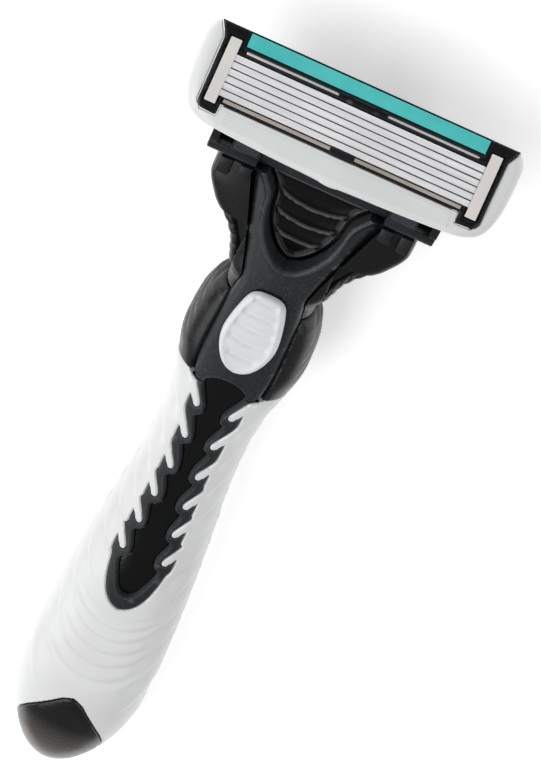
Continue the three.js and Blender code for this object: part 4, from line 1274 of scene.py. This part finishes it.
def release_button():
    half = [(0, -33.0), (1.3, -32.95), (2.3, -32.3), (2.8, -31.2), (3.35, -28.8), (3.8, -26.0), (3.85, -24.2),
            (3.45, -22.2), (2.5, -20.2), (1.3, -19.1), (0, -18.8)]
    outline = both_sides(cornered(half, 2))
    grooves = ((-31.7, 2.0), (-29.1, 2.6), (-26.7, 3.0), (-24.2, 3.0), (-21.6, 2.2))

    def height(x, y):
        edge = gap_to(x, y, outline)
        smile = y + 0.05 * x ** 2
        sunk = np.zeros_like(x)
        for centre, reach in grooves:
            line = (smile - centre) / np.where(smile < centre, 0.75, 0.28)
            sunk = sunk + 0.34 * np.exp(-line ** 2) * (1 - ease(reach - 0.5, reach, np.abs(x)))
        rim = 0.16 * np.exp(-((edge - 0.6) / 0.3) ** 2)
        return crown(x) + BUTTON_TOP - sunk + rim - rounding(edge, 0.55)

    def under(x, y):
        return crown(x) + BUTTON_GAP

    cap = relief("button_cap", outline, height, under, fine=0.15, coarse=0.25, rim=0.8)
    stem = slab("button_stem", side_box(-28.5, -23.5, 9.6, 14.5), -1.3, 1.3, 0.2)
    return show(joined("release_button_egg", [cap, stem]), "button", "button_white", button_abs,
                "release_button")


release_button()

# %% [markdown]
# ## The cartridge
#
# The cartridge is drawn flat, face up, and leant back in one step. Its white frame is a C of two pillowy
# end caps joined by the guard bar. A black housing fills the C and carries the strip, the blades and the
# clips. Each is a relief: the outline gives the plan, and the height function gives the pillow.

# %% The white frame
def cartridge_frame():
    outer = [(0, 6.93), (0.7, 6.9), (1.5, 6.72), (8.0, 6.55), (15.9, 6.1), (17.7, 5.85), (19.5, 5.05),
             (20.5, 3.4), (21.0, 1.2), (21.18, -1.5), (21.18, -4.6), (20.75, -5.8), (20.05, -6.58)]
    inner = [(18.98, -4.6), (18.9, 3.6), (18.2, 4.5), (16.3, 4.62), (16.0, 4.5), (15.95, 3.2), (0, 3.2)]
    outline = both_sides([(x, y) for x, y in cornered(outer, 2)] + inner)
    rim = both_sides([(x, y) for x, y in cornered(outer, 2)] + [(20.05, -30), (0, -30)])

    def height(x, y):
        cap = ease(15.6, 18.4, np.abs(x))
        pillow = rounding(gap_to(x, y, rim), 1.7) * (0.35 + 0.65 * cap)
        return -0.25 - pillow - rounding(gap_to(x, y, outline), 0.2)

    def under(x, y):
        return -5.38 + rounding(gap_to(x, y, rim), 1.2)

    piece = relief("cartridge_frame_caps", outline, height, under, fine=0.2, coarse=0.5, rim=1.8,
                   place=in_cartridge)
    return show(piece, "cartridge", "white_abs", white_abs, "cartridge_frame")


cartridge_frame()

# %% [markdown]
# The guard is a soft strip with very fine fins along it, which stretch the skin before the blades. The
# real fins are about 0.4 mm apart and less than a tenth of a millimetre high, so they barely show.

# %% The guard fins
FIN_PITCH = 0.42


def guard_fins():
    outline = both_sides([(0, 3.62), (15.3, 3.62), (15.3, 5.55), (8.0, 6.0), (0, 6.2)])

    def height(x, y):
        edge = gap_to(x, y, outline)
        wave = 0.5 + 0.5 * np.cos(2 * math.pi * y / FIN_PITCH)
        return -0.235 + 0.05 * wave * ease(0.05, 0.3, edge) - rounding(edge, 0.05)

    piece = relief("guard_fins_soft", outline, height, -0.7, fine=0.13, coarse=0.13, rim=0.3,
                   place=in_cartridge)
    return show(piece, "cartridge", "guard_rubber", guard_rubber, "guard_fins")


guard_fins()

# %% [markdown]
# The housing is one black moulding. Its upper frame has openings for the strip, the blades and the rinse
# slots, and a back plate below has ribs between its windows. Two lugs on the back turn on the pivot pins.

# %% The housing
PIVOT = (3.5, -7.9)          # the pivot in the cartridge's own frame
LUG_RADIUS = 1.9
FRAME_BACK = -3.5            # the upper frame ends here, and the back plate begins


def arc_round(y, z, start, end, steps):
    """Points of a lug's round end, from one angle to another in half turns."""
    angles = [math.pi * (start + (end - start) * k / steps) for k in range(steps + 1)]
    return [(y + LUG_RADIUS * math.cos(a), z + LUG_RADIUS * math.sin(a)) for a in angles]


def housing():
    half = [(0, -6.55), (19.9, -6.55), (19.35, -5.6), (18.92, -4.6), (18.84, 3.6), (18.6, 4.15),
            (18.15, 4.42), (16.32, 4.54), (16.08, 4.45), (16.02, 3.12), (0, 3.12)]
    outline = both_sides(half)
    window = both_sides([(0, -3.38), (17.3, -3.38), (17.3, 2.05), (16.03, 2.05), (16.03, 2.86), (0, 2.86)])
    seat = box_loop(-16.02, 16.02, -6.36, -4.5)
    slots = [box_loop(x0, x1, -4.06, -3.74) for x0, x1 in ((-15.6, -3.3), (3.3, 15.6))]
    clips = [box_loop(*sorted((side * 16.62, side * 18.24)), y0, y1)
             for side in (1, -1) for y0, y1 in ((-5.08, -4.6), (2.9, 3.42))]

    def height(x, y):
        gap = gap_to(x, y, outline, window, seat, *slots, *clips)
        under_clip = (np.abs(x) > 16.5) & (np.abs(x) < 18.35) & (y > -5.1) & (y < 3.45)
        ear = ease(15.9, 16.1, np.abs(x)) * ease(2.0, 2.2, y) * (1 - ease(4.3, 4.5, y))
        middle = 0.22 * (1 - ease(1.4, 2.2, np.abs(x))) * (y < -3.3)
        side_rail = 0.12 * ease(18.25, 18.45, np.abs(x))
        return -0.3 + middle + side_rail + 0.1 * ear - 0.15 * under_clip - rounding(gap, 0.16)

    frame_part = relief("housing_frame", outline, height, FRAME_BACK, holes=[window, seat] + slots + clips,
                        fine=0.2, coarse=0.4, rim=0.5, place=in_cartridge)
    windows = [box_loop(x0, x1, -3.2, 2.0)
               for x0, x1 in ((-16.8, -10.2), (-9.4, -0.4), (0.4, 9.4), (10.2, 16.8))]

    def back(x, y):
        return -5.35 + rounding(gap_to(x, y, outline), 0.5)

    back_plate = relief("housing_back", outline, lambda x, y: np.full_like(x, FRAME_BACK), back,
                        holes=windows + slots, fine=0.35, coarse=0.8, rim=0.5, place=in_cartridge)
    lugs = []
    for side in (1, -1):
        ring = [(-0.8, -5.2), (2.9, -5.2)] + arc_round(*PIVOT, 0.35, -0.85, 16)
        lugs.append(slab("lug", ring, *sorted((side * 12.9, side * 14.1)), 0.12, in_cartridge))
    bridge = slab("bar_bridge", side_box(2.28, 3.06, -1.2, -0.02), -1.65, 1.65, 0.1, in_cartridge)
    piece = joined("cartridge_housing_black", [frame_part, back_plate, bridge] + lugs)
    return show(piece, "cartridge", "gloss_black", housing_abs, "cartridge_housing")


housing()

# %% [markdown]
# The lubricating strip stands slightly proud. It is extruded, so its section is the same all along: a
# flat top, rounded corners and a fine line pressed in near each edge.

# %% The lubricating strip
def lubricating_strip():
    outline = box_loop(-15.95, 15.95, -6.3, -4.56)

    def height(x, y):
        edge = gap_to(x, y, outline)
        line = 0.05 * np.exp(-((edge - 0.3) / 0.1) ** 2)
        return 0.13 - line - rounding(edge, 0.16)

    piece = relief("lubricating_strip_teal", outline, height, -0.84, fine=0.13, coarse=0.5, rim=0.5,
                   place=in_cartridge)
    return show(piece, "cartridge", "teal_strip", strip_polymer, "lubricating_strip")


lubricating_strip()

# %% [markdown]
# The blades, the clips, the pins and the stop bar are simple ground, folded and rolled metal, so they keep
# the frame's shapes. All but the blades have their edges rounded a little, which makes them catch light.
# Two narrow bright metal bars also lie in the rinse slots behind the strip, one on each side of the middle:
# they stand in for the light that shows through the open slots.

# %% The metal parts
BLADES = 6
SLOT_LIGHT_BAR = side_box(-4.0, -3.8, -1.3, -0.42)

for number in range(1, BLADES + 1):
    refinish("blade_%d" % number, blade_steel)
for word in ("right", "left"):
    refinish("clip_" + word, clip_metal, 0.14)
    refinish("pivot_pin_" + word, wire_steel, 0.1)
refinish("blade_stop_bar", bar_metal, 0.06)
# these bright bars stand in for the light seen through the open rinse slots
for x0, x1, word in ((-15.5, -3.4, "left"), (3.4, 15.5, "right")):
    bar = slab("slot_light_bar_" + word, SLOT_LIGHT_BAR, x0, x1, 0.05, in_cartridge)
    show(bar, "cartridge", "clip_aluminium", clip_metal)

# %% [markdown]
# Behind the blades the well isn't empty. Thin black bars cross it, one behind each gap, with three posts
# between them, so hair is rinsed out past them. Set right behind the gaps, the black bars also stand in
# for the shade there, so the gaps between the blades look dark.

# %% The grille behind the blades
BLADE_START, BLADE_PITCH = -3.2, 0.92
GAP_BEHIND_BLADE = 0.86          # a blade leans back, so the gap after it lies this far on
WELL_START, WELL_END = -3.3, 2.2
GRILLE_LOW, GRILLE_HIGH, POST_DROP = -4.7, -4.1, 0.3
BAR_HALF, POST_HALF = 0.3, 0.4


def blade_grille():
    bars = []
    # each bar lies right behind a gap: a dark thing that stands in for the shade in that gap
    for number in range(-1, BLADES):
        middle = BLADE_START + number * BLADE_PITCH + GAP_BEHIND_BLADE
        low, high = max(middle - BAR_HALF, WELL_START), min(middle + BAR_HALF, WELL_END)
        section = side_box(low, high, GRILLE_LOW, GRILLE_HIGH)
        bars.append(slab("grille_bar", section, -17.3, 17.3, 0.08, in_cartridge))
    post = side_box(WELL_START, WELL_END, GRILLE_LOW - POST_DROP, GRILLE_LOW)
    for x in (-8.0, 0.0, 8.0):
        bars.append(slab("grille_post", post, x - POST_HALF, x + POST_HALF, 0.08, in_cartridge))
    return show(joined("blade_grille", bars), "cartridge", "black_abs", housing_abs)


blade_grille()

# %% [markdown]
# ## The docking yoke and what moves inside
#
# The yoke is the cartridge's other half: two stepped blocks and two cheeks on a bar, with a socket for
# the handle's tongue. Behind each block a ledge closes the gap in which the cartridge's lug turns.

# %% The yoke
def in_world(y, z):
    point = in_cartridge([(0, y, z)])[0]
    return float(point[1]), float(point[2])


SOCKET = box_loop(-3.55, 3.55, -60, -45)     # the tongue's seat, 0.25 mm wider on each side


def docking_yoke():
    ring = arc_round(*in_world(*PIVOT), 0.5, 1.25, 20)
    side = [(-50.3, 6.4), (-50.3, 13.3), (-51.0, 13.5), (-52.2, 13.9), (-52.3, 14.55)] + ring + [(-54.8, 6.4)]
    bar = slab("yoke_bar", [(-50.3, 6.0), (-50.3, 12.2), (-53.2, 12.2), (-53.6, 6.0)], -15.5, 15.5, 0.3)
    nose = slab("yoke_nose", side_box(-50.31, -54.8, 6.01, 12.21), -5.4, 5.4, 0.3)
    parts = [cut(part, prism("socket", SOCKET, 6.35, 11.15)) for part in (bar, nose)]
    for sign in (1, -1):
        for x0, x1 in ((8.7, 12.6), (14.4, 15.5)):
            parts.append(slab("yoke_block", side, *sorted((sign * x0, sign * x1)), 0.16))
        ledge = [(-50.32, 11.8), (-50.32, 13.55), (-50.75, 13.95), (-52.0, 14.15), (-52.0, 11.8)]
        parts.append(slab("yoke_ledge", ledge, *sorted((sign * 8.75, sign * 15.45)), 0.14))
        lip = side_box(-50.28, -50.5, 12.4, 13.3)
        parts.append(slab("yoke_lip", lip, *sorted((sign * 9.6, sign * 15.2)), 0.08))
    return show(joined("docking_yoke_moulding", parts), "docking", "black_abs", housing_abs, "docking_yoke")


def yoke_panels():
    for sign, word in ((1, "right"), (-1, "left")):
        plate = slab("yoke_panel_" + word, [(-52.6, 14.4), (-52.6, 14.72), (-55.6, 15.24), (-55.6, 14.9)],
                     *sorted((sign * 9.05, sign * 12.3)), 0.1)
        show(plate, "docking", "gloss_black", panel_abs)


docking_yoke()
yoke_panels()

# %% [markdown]
# What stays hidden is still a real piece: the ejector slide under the button and the plunger that pushes
# the head back keep the frame's shapes and get the finish of their material. Their springs are wound again
# here as helices of round wire, the button's 6.3 mm long and the plunger's 9.3 mm. In use the button's
# spring shortens to 3.3 mm and the plunger's to 2.3 mm.

# %% Hidden mechanism and the rear pad
refinish("ejector_slide", black_abs, 0.15)
refinish("plunger", black_abs, 0.12)
refinish("rear_grip", grip_rubber, 0.3)


# %% The springs
WIRE_RADIUS = 0.22
WIRE_SIDES, TURN_STEPS = 8, 20


def wound_spring(name, node, radius, z, start, end, turns):
    """A helix of round wire along Y, with flat ends."""
    steps = turns * TURN_STEPS
    points = []
    for step in range(steps + 1):
        angle = 2 * math.pi * step / TURN_STEPS
        for side in range(WIRE_SIDES):
            round_wire = 2 * math.pi * side / WIRE_SIDES
            reach = radius + WIRE_RADIUS * math.cos(round_wire)
            y = start + (end - start) * step / steps + WIRE_RADIUS * math.sin(round_wire)
            points.append((reach * math.cos(angle), y, z + reach * math.sin(angle)))
    faces = [tuple(range(WIRE_SIDES)), tuple(range(len(points) - 1, len(points) - WIRE_SIDES - 1, -1))]
    for step in range(steps):
        for side in range(WIRE_SIDES):
            here, after = step * WIRE_SIDES + side, step * WIRE_SIDES + (side + 1) % WIRE_SIDES
            faces.append((here, after, after + WIRE_SIDES, here + WIRE_SIDES))
    return show(mesh_object(name, points, faces), "handle", "spring_steel", wire_steel, node)


button_coil = wound_spring("button_spring_coil", "button_spring", radius=1.4, z=9.35,
                           start=-35.9, end=-29.6, turns=4)
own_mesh(button_coil)
plunger_coil = wound_spring("plunger_spring_coil", "plunger_spring", radius=0.7, z=8.4,
                            start=-46.7, end=-37.4, turns=6)
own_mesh(plunger_coil)
